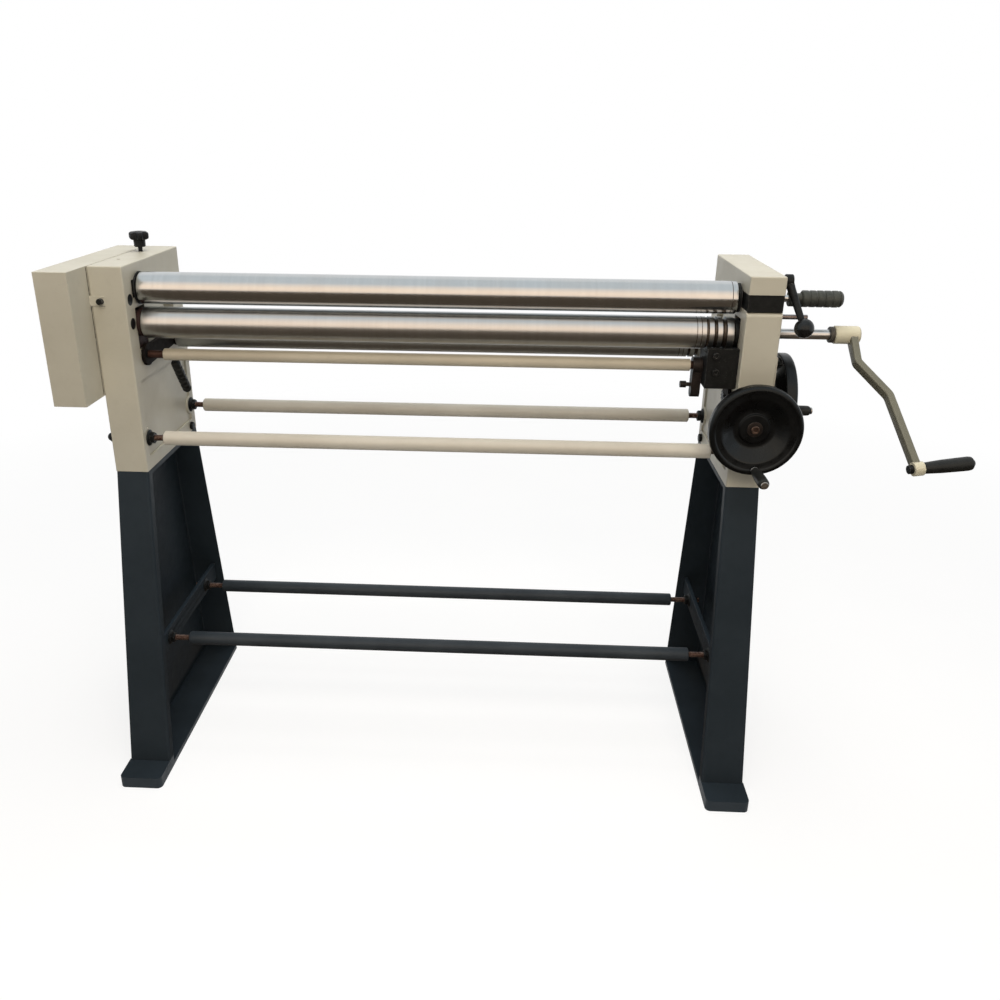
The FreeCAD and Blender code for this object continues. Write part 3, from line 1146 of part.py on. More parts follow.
# ---------------------------------------------------------------- clamp lever and star knob
PIN = V(value("out_face+14"), value(CLAMP_AT[0]), value(CLAMP_AT[1]))
BALL = PIN + V(26.0, -61.0, -87.0)
way = BALL - PIN
reach = way.Length
way.normalize()
arm = doc.addObject("Part::Cone", "clamp_arm")
arm.Radius1, arm.Radius2, arm.Height = 7.5, 6.0, reach - 8.0
arm.Placement = Placement(PIN, Rotation(V(0, 0, 1), way))
pivot = rod("clamp_pin", "7", "x", "out_face-33", "out_face+7", CLAMP_AT)
hub = rod("clamp_hub", "14", "x", "out_face+6", "out_face+22", CLAMP_AT)
clamp = join("clamp_lever_solid", [pivot, hub, arm])
clamp.Refine = False
node(clamp, "clamp_lever")
ball = doc.addObject("Part::Sphere", "clamp_sphere")
ball.Radius = 20.0
ball.Placement = Placement(BALL, Rotation())
bore = doc.addObject("Part::Cone", "clamp_ball_bore")
bore.Radius1, bore.Radius2, bore.Height = 7.5 + D["fit_gap"], 6.0 + D["fit_gap"], reach - 8.0 + 0.2
bore.Placement = Placement(PIN, Rotation(V(0, 0, 1), way))
node(cut("clamp_ball", ball, [bore]), "clamp_ball")

knob = [rod("knob_core", "15", "z", "casting_top+27", "casting_top+46", KNOB_AT),
        cone("knob_skirt", "10.5", "13.5", "z", "casting_top+12", "casting_top+27.5", KNOB_AT),
        rod("knob_stem", "5", "z", "casting_top-44", "casting_top+13", KNOB_AT)]
for k in range(6):
    ang = math.radians(60 * k + 15)
    knob.append(rod("knob_lobe%d" % k, "6.5", "z", "casting_top+28", "casting_top+45",
                    ("%s+(%.4f)" % (KNOB_AT[0], 16.5 * math.cos(ang)),
                     "%s+(%.4f)" % (KNOB_AT[1], 16.5 * math.sin(ang)))))
node(join("star_knob", knob), "star_knob")

# ---------------------------------------------------------------- the machine's own origin
def middle():
    """The middle of the outer box: cover to crank pin's end, crank eye to the feet's back."""
    base, way = crank_axis()
    along = crank_turn.multVec(way)
    end = crank_turn.multVec(base + way * (GRIP_END + 4.0))
    eye = crank_turn.multVec(base - way * EYE_BACK)
    right = end.x + 7.0 * math.sqrt(1.0 - along.x ** 2)
    front = eye.y - 14.5 * math.sqrt(1.0 - along.y ** 2)
    return V((right - value("cover_left")) / 2.0, (front + value("foot_back")) / 2.0, 0.0)


MIDDLE = middle()
for label, obj in NODES:
    obj.Placement = Placement(MIDDLE * -1.0, Rotation())
print("origin moved by", round(MIDDLE.x, 4), round(MIDDLE.y, 4))

# ---------------------------------------------------------------- write the pieces
doc.recompute()
faults = []
for obj in doc.Objects:
    if "Invalid" in obj.State or "Error" in obj.State:
        faults.append("%s (%s): %s" % (obj.Name, obj.Label, obj.State))
for label, obj in NODES:
    shape = obj.Shape
    if shape.isNull() or not shape.isValid() or shape.Volume <= 0:
        faults.append("bad shape: " + label)
if faults:
    raise RuntimeError("\n".join(faults))
os.makedirs("parts", exist_ok=True)
for label, obj in NODES:
    obj.Shape.exportStep("parts/%s.step" % label)
    b = obj.Shape.BoundBox
    print("%-18s solids %2d vol %10.0f" % (label, len(obj.Shape.Solids), obj.Shape.Volume),
          "x %7.1f %7.1f  y %7.1f %7.1f  z %7.1f %7.1f" % (b.XMin, b.XMax, b.YMin, b.YMax, b.ZMin, b.ZMax))
print("nodes", len(NODES))
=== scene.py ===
"""Looks of a hand slip roll on its stand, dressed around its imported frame."""

from __future__ import annotations

import logging
import math
from dataclasses import dataclass, field
from enum import Enum
from typing import Callable, Sequence

import bpy
from mathutils import Matrix, Vector


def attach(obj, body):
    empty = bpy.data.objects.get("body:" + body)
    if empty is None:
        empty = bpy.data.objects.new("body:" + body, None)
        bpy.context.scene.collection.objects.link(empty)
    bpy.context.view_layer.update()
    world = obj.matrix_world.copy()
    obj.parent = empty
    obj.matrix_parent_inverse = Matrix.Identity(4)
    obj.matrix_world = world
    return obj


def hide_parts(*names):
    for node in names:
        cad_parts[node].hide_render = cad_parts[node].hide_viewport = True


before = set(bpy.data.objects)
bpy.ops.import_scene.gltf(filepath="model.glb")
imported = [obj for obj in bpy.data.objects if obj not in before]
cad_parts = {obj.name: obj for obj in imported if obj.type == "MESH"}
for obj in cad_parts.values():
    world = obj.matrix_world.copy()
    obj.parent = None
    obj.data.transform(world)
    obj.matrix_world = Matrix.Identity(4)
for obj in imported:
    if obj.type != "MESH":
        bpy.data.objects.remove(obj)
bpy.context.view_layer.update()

MM = 0.001
ORIGIN = Vector((146.8951, 76.841, 0.0))
WELD_REACH = 0.00002
EDGE_ANGLE = math.radians(38)
EDGE_STEPS = 3
FLAT_WEIGHT = 80
STRAIGHT = math.pi - 1e-3
SPAN_SHARE = 0.49
LEAST_ARC = 1e-6
LEAST_RADIUS = 1e-4
WHITE = (1.0, 1.0, 1.0)
# A cool tint on the reflections of dark parts, a painted reflection colour that offsets the warm card.
COOL_REFLECTION_TINT = (0.78, 0.92, 1.0, 1.0)
Pair = tuple[float, float]
Triple = tuple[float, float, float]
Colour = tuple[float, float, float]
Shape = Callable[[float, float, float], float]
LOG = logging.getLogger("slip_roll")


class Axis(Enum):
    """An axis of the frame that a turned piece lies along."""

    X = (1.0, 0.0, 0.0)
    Y = (0.0, 1.0, 0.0)
    Z = (0.0, 0.0, 1.0)

    @property
    def way(self) -> Vector:
        """Gives the axis's direction."""
        return Vector(self.value)

    def scale(self, along: float, across: float) -> Triple:
        """Gives one scale along the axis and another across it."""
        return tuple(along if part > 0.5 else across for part in self.value)


class Slot(Enum):
    """The record's material slots."""

    CREAM = "cream_paint"
    STAND = "stand_paint"
    STEEL = "ground_steel"
    BLACK = "black_steel"
    RED = "red_steel"
    BRIGHT = "bright_steel"
    BRONZE = "bronze"
    PLASTIC = "black_plastic"
    SHAFT = "shaft_paint"


# ---------------------------------------------------------------- node graphs
class Graph:
    """A material's node tree, with short ways to add nodes."""

    def __init__(self, name: str) -> None:
        """Makes an empty material.

        Args:
            name: the material's name.
        """
        self.material = bpy.data.materials.new(name)
        self.material.use_nodes = True
        self.tree = self.material.node_tree
        self.tree.nodes.clear()
        self.out = self.tree.nodes.new("ShaderNodeOutputMaterial")
        self.coords = self.tree.nodes.new("ShaderNodeTexCoord").outputs["Object"]

    def add(self, kind: str, inputs: dict | None = None, **props: object) -> bpy.types.Node:
        """Adds a node.

        Args:
            kind: the node's type name without its ShaderNode prefix.
            inputs: socket name or index to a value or to an output socket.
            props: the node's own properties.

        Returns:
            The new node.
        """
        node = self.tree.nodes.new("ShaderNode" + kind)
        for key, value in props.items():
            setattr(node, key, value)
        for key, value in (inputs or {}).items():
            if isinstance(value, bpy.types.NodeSocket):
                self.tree.links.new(value, node.inputs[key])
            else:
                node.inputs[key].default_value = value
        return node

    def stretched(self, scale: Triple) -> bpy.types.NodeSocket:
        """Gives the object's coordinates scaled along each axis."""
        return self.add("Mapping", {"Vector": self.coords, "Scale": scale}).outputs[0]

    def noise(self, scale: float, detail: float = 3.0, rough: float = 0.55,
              stretch: Triple | None = None) -> bpy.types.NodeSocket:
        """Gives a noise value from 0 to 1.

        Args:
            scale: how many features there are in a metre.
            detail: how many finer layers are added.
            rough: how strong the finer layers are.
            stretch: an extra scale along each axis.

        Returns:
            The noise's value socket.
        """
        where = self.stretched(stretch) if stretch else self.coords
        made = self.add("TexNoise", {"Vector": where, "Scale": scale, "Detail": detail, "Roughness": rough})
        return made.outputs[0]

    def ramp(self, value: bpy.types.NodeSocket, low: float, high: float,
             start: float = 0.0, end: float = 1.0) -> bpy.types.NodeSocket:
        """Maps a value's range low to high onto start to end, clamped."""
        made = self.add("MapRange", {0: value, 1: low, 2: high, 3: start, 4: end})
        return made.outputs[0]

    def math(self, operation: str, a: object, b: object = 0.0) -> bpy.types.NodeSocket:
        """Combines two values with one operation."""
        return self.add("Math", {0: a, 1: b}, operation=operation).outputs[0]

    def mix(self, factor: object, a: object, b: object) -> bpy.types.NodeSocket:
        """Mixes two colours.

        Args:
            factor: how much of the second colour there is, as a value or a socket.
            a: the first colour or its socket.
            b: the second colour or its socket.

        Returns:
            The mixed colour's socket.
        """
        node = self.add("Mix", data_type="RGBA")
        for index, value in ((0, factor), (6, a), (7, b)):
            if isinstance(value, bpy.types.NodeSocket):
                self.tree.links.new(value, node.inputs[index])
            elif index == 0:
                node.inputs[index].default_value = value
            else:
                node.inputs[index].default_value = (*value, 1.0)
        return node.outputs[2]

    def bump(self, height: bpy.types.NodeSocket, strength: float, distance: float,
             below: bpy.types.NodeSocket | None = None) -> bpy.types.NodeSocket:
        """Turns a height into a normal.

        Args:
            height: the height's socket.
            strength: how strong the relief is, from 0 to 1.
            distance: how high it is, in metres.
            below: another normal that it lies on.

        Returns:
            The normal's socket.
        """
        inputs = {"Height": height, "Strength": strength, "Distance": distance}
        if below is not None:
            inputs["Normal"] = below
        return self.add("Bump", inputs).outputs[0]

    def edges(self, radius: float, spread: float) -> bpy.types.NodeSocket:
        """Gives 1 on worn edges and 0 elsewhere, broken up by noise.

        Args:
            radius: how far in from an edge the wear reaches, in metres.
            spread: how much of the edge's length is worn, from 0 to 1.

        Returns:
            The mask's value socket.
        """
        soft = self.add("Bevel", {"Radius": radius}, samples=4).outputs[0]
        normal = self.add("NewGeometry").outputs["Normal"]
        facing = self.add("VectorMath", {0: soft, 1: normal}, operation="DOT_PRODUCT").outputs["Value"]
        turned = self.ramp(facing, 0.995, 0.93)
        broken = self.ramp(self.noise(160.0, 4.0, 0.7), 0.62 - 0.3 * spread, 0.7 - 0.3 * spread)
        return self.math("MULTIPLY", turned, broken)

    def shader(self, **inputs: object) -> bpy.types.Node:
        """Adds the surface shader, joined to the output.

        Args:
            inputs: socket names with underscores for spaces.

        Returns:
            The shader node.
        """
        node = self.add("BsdfPrincipled", {k.replace("_", " "): v for k, v in inputs.items()})
        self.tree.links.new(node.outputs[0], self.out.inputs[0])
        return node


def opaque(colour: Colour) -> tuple[float, float, float, float]:
    """Adds a full alpha to a colour."""
    return (*colour, 1.0)


# ---------------------------------------------------------------- finishes
@dataclass(frozen=True)
class Finish:
    """A surface finish: its name, the record's slot and how its material is made."""

    name: str
    slot: Slot

    def material(self) -> bpy.types.Material:
        """Gives the finish's material, made once."""
        found = bpy.data.materials.get(self.name)
        return found or self.make()

    def make(self) -> bpy.types.Material:
        """Makes the material."""
        raise NotImplementedError


@dataclass(frozen=True)
class SprayedPaint(Finish):
    """Sprayed enamel over metal, with a faint orange peel, dust and worn edges."""

    colour: Colour = (0.6, 0.6, 0.6)
    shade: Colour = (0.5, 0.5, 0.5)
    bare: Colour = (0.2, 0.2, 0.2)
    gloss: float = 0.4
    peel: float = 0.12
    wear: float = 0.35
    peel_scale: float = 420.0
    sheen: float = 0.4
    grime: float = 0.3
    specks: float = 0.35
    chip: float = 0.0016

    def make(self) -> bpy.types.Material:
        """Makes the paint: cloudy colour, peel, fine dust specks and chipped edges.

        Returns:
            The material.
        """
        g = Graph(self.name)
        cloud = g.ramp(g.noise(5.0, 4.0, 0.6), 0.3, 0.72)
        base = g.mix(cloud, self.shade, self.colour)
        grime = g.ramp(g.noise(38.0, 5.0, 0.65), 0.56, 0.8, 0.0, self.grime)
        base = g.mix(grime, base, tuple(0.82 * c for c in self.shade))
        speck = g.ramp(g.noise(900.0, 2.0, 0.5), 0.7, 0.76, 0.0, self.specks)
        base = g.mix(speck, base, tuple(0.6 * c for c in self.shade))
        worn = g.edges(self.chip, self.wear)
        base = g.mix(worn, base, self.bare)
        rough = g.ramp(g.noise(26.0, 4.0, 0.6), 0.25, 0.75, self.gloss - 0.06, self.gloss + 0.1)
        peel = g.noise(self.peel_scale, 2.0, 0.5)
        cast = g.noise(85.0, 3.0, 0.6)
        normal = g.bump(peel, self.peel, 0.0006, g.bump(cast, self.peel * 0.8, 0.0014))
        g.shader(Base_Color=base, Roughness=rough, Normal=normal, Specular_IOR_Level=self.sheen)
        return g.material


@dataclass(frozen=True)
class GroundSteel(Finish):
    """Cylindrically ground and polished steel, with fine rings round its axis."""

    colour: Colour = (0.56, 0.59, 0.605)
    gloss: float = 0.17
    along: Axis = Axis.X
    oil: Colour = (0.52, 0.5, 0.47)
    scuff: Colour = (0.72, 0.72, 0.7)

    def make(self) -> bpy.types.Material:
        """Makes the steel: grinding rings, faint feed bands, oil bloom and a few scuffs.

        Returns:
            The material.
        """
        g = Graph(self.name)
        fine = self.along.scale(1.0, 0.012)
        rings = g.noise(2600.0, 2.0, 0.6, fine)
        bands = g.noise(95.0, 4.0, 0.6, fine)
        bloom = g.ramp(g.noise(9.0, 5.0, 0.62), 0.35, 0.75)
        streak = g.ramp(g.noise(30.0, 5.0, 0.7, self.along.scale(0.35, 1.0)), 0.55, 0.78)
        dull = tuple(0.93 * c for c in self.colour)
        base = g.mix(g.ramp(bands, 0.3, 0.7), dull, self.colour)
        base = g.mix(g.math("MULTIPLY", bloom, 0.3), base, self.oil)
        base = g.mix(g.math("MULTIPLY", streak, 0.2), base, self.scuff)
        rough = g.math("ADD", g.ramp(bands, 0.25, 0.75, self.gloss - 0.012, self.gloss + 0.018),
                       g.math("MULTIPLY", bloom, 0.05))
        normal = g.bump(rings, 0.05, 0.0002)
        g.shader(Base_Color=base, Metallic=1.0, Roughness=rough, Normal=normal)
        return g.material


@dataclass(frozen=True)
class Oxide(Finish):
    """Oxidised or machined metal: dark, oily, brighter where it is rubbed."""

    colour: Colour = (0.014, 0.014, 0.0135)
    shade: Colour = (0.007, 0.007, 0.007)
    rubbed: Colour = (0.12, 0.118, 0.112)
    gloss: float = 0.46
    metal: float = 0.25
    wear: float = 0.55
    rings: Axis | None = None
    sheen: float = 0.25
    rub: float = 0.0011

    def make(self) -> bpy.types.Material:
        """Makes the metal: mottled oxide, tool marks and rubbed edges.

        Returns:
            The material.
        """
        g = Graph(self.name)
        mottle = g.ramp(g.noise(55.0, 5.0, 0.65), 0.35, 0.7)
        base = g.mix(mottle, self.shade, self.colour)
        spots = g.ramp(g.noise(420.0, 3.0, 0.6), 0.62, 0.74, 0.0, 0.4)
        base = g.mix(spots, base, self.rubbed)
        worn = g.edges(self.rub, self.wear)
        base = g.mix(worn, base, self.rubbed)
        marks = g.noise(1500.0, 2.0, 0.6, self.rings.scale(1.0, 0.02) if self.rings else None)
        rough = g.ramp(g.noise(70.0, 4.0, 0.6), 0.3, 0.7, self.gloss - 0.07, self.gloss + 0.12)
        normal = g.bump(marks, 0.12, 0.0003)
        g.shader(Base_Color=base, Metallic=self.metal, Roughness=rough, Normal=normal,
                 Specular_IOR_Level=self.sheen, Specular_Tint=COOL_REFLECTION_TINT)
        return g.material


@dataclass(frozen=True)
class Moulding(Finish):
    """Moulded black plastic with a fine grain and hand polish."""

    colour: Colour = (0.016, 0.016, 0.018)
    gloss: float = 0.34
    grain: float = 0.16
    sheen: float = 0.3
    dust: Colour = (0.04, 0.039, 0.037)
    dulled: Colour = (0.07, 0.07, 0.07)
    wear: float = 0.4
    chip: float = 0.001

    def make(self) -> bpy.types.Material:
        """Makes the plastic: grain, flow cloud, dusty patches and dulled edges.

        Returns:
            The material.
        """
        g = Graph(self.name)
        cloud = g.ramp(g.noise(24.0, 4.0, 0.6), 0.35, 0.75)
        base = g.mix(cloud, tuple(0.7 * c for c in self.colour), tuple(1.5 * c for c in self.colour))
        dust = g.ramp(g.noise(190.0, 5.0, 0.7), 0.6, 0.78, 0.0, 0.25)
        base = g.mix(dust, base, self.dust)
        worn = g.edges(self.chip, self.wear)
        base = g.mix(g.math("MULTIPLY", worn, 0.6), base, self.dulled)
        rough = g.ramp(g.noise(48.0, 4.0, 0.65), 0.3, 0.72, self.gloss - 0.08, self.gloss + 0.14)
        normal = g.bump(g.noise(1300.0, 2.0, 0.5), self.grain, 0.0003)
        g.shader(Base_Color=base, Roughness=rough, Normal=normal, Specular_IOR_Level=self.sheen,
                 Specular_Tint=COOL_REFLECTION_TINT)
        return g.material


class Finishes:
    """The machine's finishes."""

    CREAM = SprayedPaint("cream_enamel", Slot.CREAM, (0.56, 0.535, 0.45), (0.49, 0.465, 0.385),
                         (0.3, 0.28, 0.25), 0.42, 0.14, 0.3)
    # Tie rods: a lighter copy of the cream paint, painted highlight where light falls on the round tubes.
    ROD_CREAM_PAINTED_HIGHLIGHT = SprayedPaint("rod_enamel_painted_highlight", Slot.CREAM, (0.66, 0.625, 0.55), (0.57, 0.53, 0.455),
                             (0.26, 0.23, 0.2), 0.34, 0.08, 0.25)
    # Crank: a lighter copy of the cream paint on hub and eye is painted highlight, a darker copy on the arm
    # is painted shade.
    CRANK_CREAM_PAINTED_HIGHLIGHT = SprayedPaint("crank_enamel_painted_highlight", Slot.CREAM, (0.69, 0.65, 0.5), (0.58, 0.545, 0.41),
                               (0.22, 0.2, 0.18), 0.4, 0.2, 0.6, 300.0)
    CRANK_ARM_PAINTED_SHADE = SprayedPaint("arm_enamel_painted_shade", Slot.CREAM, (0.175, 0.17, 0.13), (0.12, 0.117, 0.088),
                             (0.34, 0.33, 0.28), 0.42, 0.2, 0.35, 300.0)
    SHAFT = SprayedPaint("shaft_enamel", Slot.SHAFT, (0.6, 0.545, 0.435), (0.49, 0.44, 0.345),
                         (0.2, 0.18, 0.16), 0.36, 0.08, 0.3)
    STAND = SprayedPaint("slate_enamel", Slot.STAND, (0.025, 0.036, 0.047), (0.018, 0.027, 0.036),
                         (0.07, 0.07, 0.07), 0.5, 0.16, 0.2, sheen=0.2)
    # Stand rods: a lighter copy of the slate paint, painted highlight where light falls on the round tubes.
    STAND_ROD_PAINTED_HIGHLIGHT = SprayedPaint("slate_rods_painted_highlight", Slot.STAND, (0.046, 0.056, 0.066), (0.022, 0.029, 0.037),
                             (0.12, 0.12, 0.12), 0.45, 0.14, 0.5, sheen=0.25)
    ROLL = GroundSteel("ground_roll_steel", Slot.STEEL, gloss=0.2)
    ROLL_SATIN = GroundSteel("satin_roll_steel", Slot.STEEL, gloss=0.29)
    # A darker brown finish for the faces inside the roll's grooves.
    GROOVE = Oxide("darker_groove_steel", Slot.STEEL, (0.14, 0.115, 0.095), (0.06, 0.05, 0.042), (0.4, 0.36, 0.32),
                   0.4, 0.9, 0.3, Axis.X)
    BLACK = Oxide("black_oxide", Slot.BLACK)
    SOOTED = Oxide("sooted_casting", Slot.BLACK, (0.012, 0.009, 0.0075), (0.006, 0.0045, 0.004),
                   (0.06, 0.048, 0.04), gloss=0.7, metal=0.0, sheen=0.1)
    BLACK_TURNED = Oxide("black_oxide_turned", Slot.BLACK, (0.1, 0.09, 0.075), (0.05, 0.045, 0.04),
                         rings=Axis.X)
    PIN = Oxide("polished_pin", Slot.BLACK, (0.34, 0.3, 0.29), (0.2, 0.17, 0.165), (0.6, 0.56, 0.54),
                0.25, 1.0, 0.4, Axis.X)
    RED = Oxide("red_primer_steel", Slot.RED, (0.05, 0.026, 0.023), (0.024, 0.014, 0.013), (0.19, 0.12, 0.1),
                0.5, 0.25, 0.5)
    BROWNED = Oxide("browned_steel", Slot.RED, (0.035, 0.026, 0.022), (0.016, 0.013, 0.012),
                    (0.16, 0.12, 0.1), 0.45, 0.4, 0.6)
    STUD = Oxide("copper_stud", Slot.RED, (0.095, 0.048, 0.036), (0.045, 0.024, 0.019), (0.34, 0.24, 0.19),
                 0.42, 0.55, 0.6, Axis.X)
    BRIGHT = Oxide("zinc_plate", Slot.BRIGHT, (0.5, 0.49, 0.46), (0.36, 0.35, 0.33), (0.7, 0.69, 0.66),
                   0.28, 1.0, 0.3)
    COPPER = Oxide("copper_bolt", Slot.BRIGHT, (0.14, 0.095, 0.075), (0.07, 0.048, 0.04), (0.34, 0.26, 0.21),
                   0.36, 0.9, 0.4)
    WASHER = Oxide("browned_washer", Slot.BRIGHT, (0.05, 0.042, 0.038), (0.025, 0.021, 0.02),
                   (0.16, 0.14, 0.13), 0.45, 0.8, 0.5)
    GEAR = Oxide("gear_steel", Slot.BLACK, (0.2, 0.19, 0.18), (0.1, 0.095, 0.09), (0.45, 0.44, 0.42),
                 0.4, 1.0, 0.5, Axis.X)
    BRONZE = Oxide("bush_bronze", Slot.BRONZE, (0.42, 0.27, 0.13), (0.25, 0.15, 0.07), (0.6, 0.44, 0.26),
                   0.35, 1.0, 0.4)
    PLASTIC = Moulding("moulded_black", Slot.PLASTIC, (0.009, 0.009, 0.0095), 0.34, 0.16, 0.2,
                       (0.024, 0.023, 0.022))
    PULL = Moulding("pull_grip_black", Slot.PLASTIC, (0.046, 0.048, 0.042), 0.4, 0.24, 0.3,
                    (0.08, 0.078, 0.07))
    WHEEL = Moulding("wheel_black", Slot.PLASTIC, (0.0032, 0.0032, 0.0034), 0.3, 0.1, 0.3,
                     (0.011, 0.0107, 0.0103))
    GRIP = Moulding("grip_black", Slot.PLASTIC, (0.015, 0.015, 0.014), 0.38, 0.24, 0.25)
    BALL = Moulding("ball_black", Slot.PLASTIC, (0.008, 0.008, 0.008), 0.2, 0.03, 0.3, (0.02, 0.019, 0.018))


# ---------------------------------------------------------------- mesh making
def rounded(points: Sequence[Sequence[float]], radius: float | Sequence[float], steps: int = 5,
            closed: bool = False) -> list[tuple[float, ...]]:
    """Rounds the corners of a line of points in two or three dimensions.

    Args:
        points: the corners.
        radius: the corner radius, or one for each point.
        steps: how many spans each rounded corner has.
        closed: whether the last point joins the first.

    Returns:
        The points of the rounded line.
    """
    pts = [Vector((*p, 0.0)) if len(p) == 2 else Vector(p) for p in points]
    size = len(points[0])
    radii = [radius] * len(pts) if isinstance(radius, (int, float)) else list(radius)
    out: list[tuple[float, ...]] = []
    for i, here in enumerate(pts):
        ends = not closed and i in (0, len(pts) - 1)
        if ends or radii[i] <= 0:
            out.append(tuple(here)[:size])
            continue
        before, after = pts[i - 1] - here, pts[(i + 1) % len(pts)] - here
        a, b = before.normalized(), after.normalized()
        turn = a.angle(b)
        if turn > STRAIGHT:
            out.append(tuple(here)[:size])
            continue
        span = min(before.length, after.length) * SPAN_SHARE
        reach = min(radii[i] / math.tan(turn / 2), span)
        true = reach * math.tan(turn / 2)
        centre = here + (a + b).normalized() * (true / math.sin(turn / 2))
        start, end = here + a * reach - centre, here + b * reach - centre
        for k in range(steps + 1):
            arm = start.slerp(end, k / steps).normalized() * true if true > LEAST_ARC else start
            out.append(tuple(centre + arm)[:size])
    return out


def aligned(axis: Vector) -> Matrix:
    """Gives a rotation whose third column is the axis."""
    return axis.to_track_quat("Z", "Y").to_matrix()


@dataclass
class Maker:
    """Collects vertices and faces in millimetres and makes one piece of them."""

    verts: list[Triple] = field(default_factory=list)
    faces: list[tuple[int, ...]] = field(default_factory=list)

    def loops(self, rings: Sequence[Sequence[Triple]]) -> None:
        """Joins closed rings of points with quads and caps the first and the last ring.

        Args:
            rings: rings with the same number of points each.
        """
        start, n = len(self.verts), len(rings[0])
        last = start + (len(rings) - 1) * n
        for ring in rings:
            self.verts.extend(tuple(p) for p in ring)
        for a in range(start, last, n):
            for j in range(n):
                k = (j + 1) % n
                self.faces.append((a + j, a + k, a + n + k, a + n + j))
        self.faces.append(tuple(start + j for j in reversed(range(n))))
        self.faces.append(tuple(last + j for j in range(n)))

    def turned(self, profile: Sequence[Pair], origin: Triple, axis: Vector, segments: int = 72,
               shape: Shape | None = None) -> None:
        """Turns a profile of (along, radius) about an axis.

        Args:
            profile: distances along the axis and radii, from one end to the other.
            origin: a point on the axis, from which distances count.
            axis: the axis's direction.
            segments: how many faces go round.
            shape: gives a radius from (along, radius, angle), for lobes, flats and threads.
        """
        turn = aligned(axis)
        base = Vector(origin)
        rings = []
        for along, radius in profile:
            ring = []
            for j in range(segments):
                angle = 2 * math.pi * j / segments
                r = max(shape(along, radius, angle) if shape else radius, LEAST_RADIUS)
                spot = Vector((r * math.cos(angle), r * math.sin(angle), along))
                ring.append(tuple(base + turn @ spot))
            rings.append(ring)
        self.loops(rings)

    def swept(self, path: Sequence[Triple], section: Callable[[float], Sequence[Pair]], up: Vector) -> None:
        """Sweeps a section along a path.

        Args:
            path: the points of the path.
            section: gives the section's corners at a share of the path's length.
            up: the direction that the section's second coordinate keeps to.
        """
        pts = [Vector(p) for p in path]
        lengths = [0.0]
        for a, b in zip(pts, pts[1:]):
            lengths.append(lengths[-1] + (b - a).length)
        rings = []
        for i, p in enumerate(pts):
            ahead = pts[min(i + 1, len(pts) - 1)] - pts[max(i - 1, 0)]
            way = ahead.normalized()
            side = way.cross(up).normalized()
            rise = side.cross(way).normalized()
            corners = section(lengths[i] / lengths[-1])
            rings.append([tuple(p + side * a + rise * b) for a, b in corners])
        self.loops(rings)

    def build(self, name: str, finish: Finish, body: str, nodes: Sequence[str] = (),
              crease: float = 32.0, extra: Sequence[Finish] = ()) -> bpy.types.Object:
        """Makes the object.

        Args:
            name: the piece's name.
            finish: its finish.
            body: the body that it rides on.
            nodes: the solids that it stands for.
            crease: the angle in degrees above which an edge stays sharp.
            extra: more finishes, for faces that pick them later.

        Returns:
            The new object.
        """
        mesh = bpy.data.meshes.new(name)
        mesh.from_pydata([tuple((Vector(v) - ORIGIN) * MM) for v in self.verts], [], self.faces)
        mesh.validate()
        mesh.update()
        piece = bpy.data.objects.new(name, mesh)
        bpy.context.scene.collection.objects.link(piece)
        mesh.polygons.foreach_set("use_smooth", [True] * len(mesh.polygons))
        mesh.set_sharp_from_angle(angle=math.radians(crease))
        mesh.materials.append(finish.material())
        for other in extra:
            mesh.materials.append(other.material())
        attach(piece, body)
        if nodes:
            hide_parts(*nodes)
        LOG.info("made %s with %d faces", name, len(mesh.polygons))
        return piece


def dress(node: str, finish: Finish, ease: float) -> None:
    """Gives a solid its finish and softens its edges.

    Args:
        node: the solid's name.
        finish: its finish.
        ease: the edge radius in millimetres.
    """
    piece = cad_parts[node]
    piece.data.materials.clear()
    piece.data.materials.append(finish.material())
    weld = piece.modifiers.new("weld", "WELD")
    weld.merge_threshold = WELD_REACH
    bevel = piece.modifiers.new("ease", "BEVEL")
    bevel.width = ease * MM
    bevel.segments = EDGE_STEPS
    bevel.limit_method = "ANGLE"
    bevel.angle_limit = EDGE_ANGLE
    bevel.use_clamp_overlap = True
    bevel.miter_outer = "MITER_ARC"
    shade = piece.modifiers.new("shade", "WEIGHTED_NORMAL")
    shade.weight = FLAT_WEIGHT
    LOG.info("dressed %s", node)


def turned_piece(name: str, finish: Finish, body: str, nodes: Sequence[str], profile: Sequence[Pair],
                 origin: Triple, way: Vector, segments: int = 72, shape: Shape | None = None) -> None:
    """Makes a piece that is one turned profile.

    Args:
        name: the piece's name.
        finish: its finish.
        body: the body that it rides on.
        nodes: the solids that it stands for.
        profile: distances along the axis and radii.
        origin: the point from which distances count.
        way: the axis's direction.
        segments: how many faces go round.
        shape: gives a radius from (along, radius, angle).
    """
    maker = Maker()
    maker.turned(profile, origin, way, segments, shape)
    maker.build(name, finish, body, nodes)


def mirrored(profile: Sequence[Pair]) -> list[Pair]:
    """Gives a profile mirrored about the middle, from its far end back."""
    return [(-along, radius) for along, radius in reversed(profile)]


def off_flat(angle: float) -> float:
    """Gives how far an angle is from the middle of the nearest of six flats."""
    return (angle + math.pi / 6) % (math.pi / 3) - math.pi / 6


def six_sided(flats: float) -> Shape:
    """Gives a shape that cuts a round profile to a hexagon.

    Args:
        flats: the distance across flats.

    Returns:
        The shape, for Maker.turned.
    """
    def shape(along: float, radius: float, angle: float) -> float:
        """Limits the radius to the flats."""
        return min(radius, flats / 2 / math.cos(off_flat(angle)))
    return shape


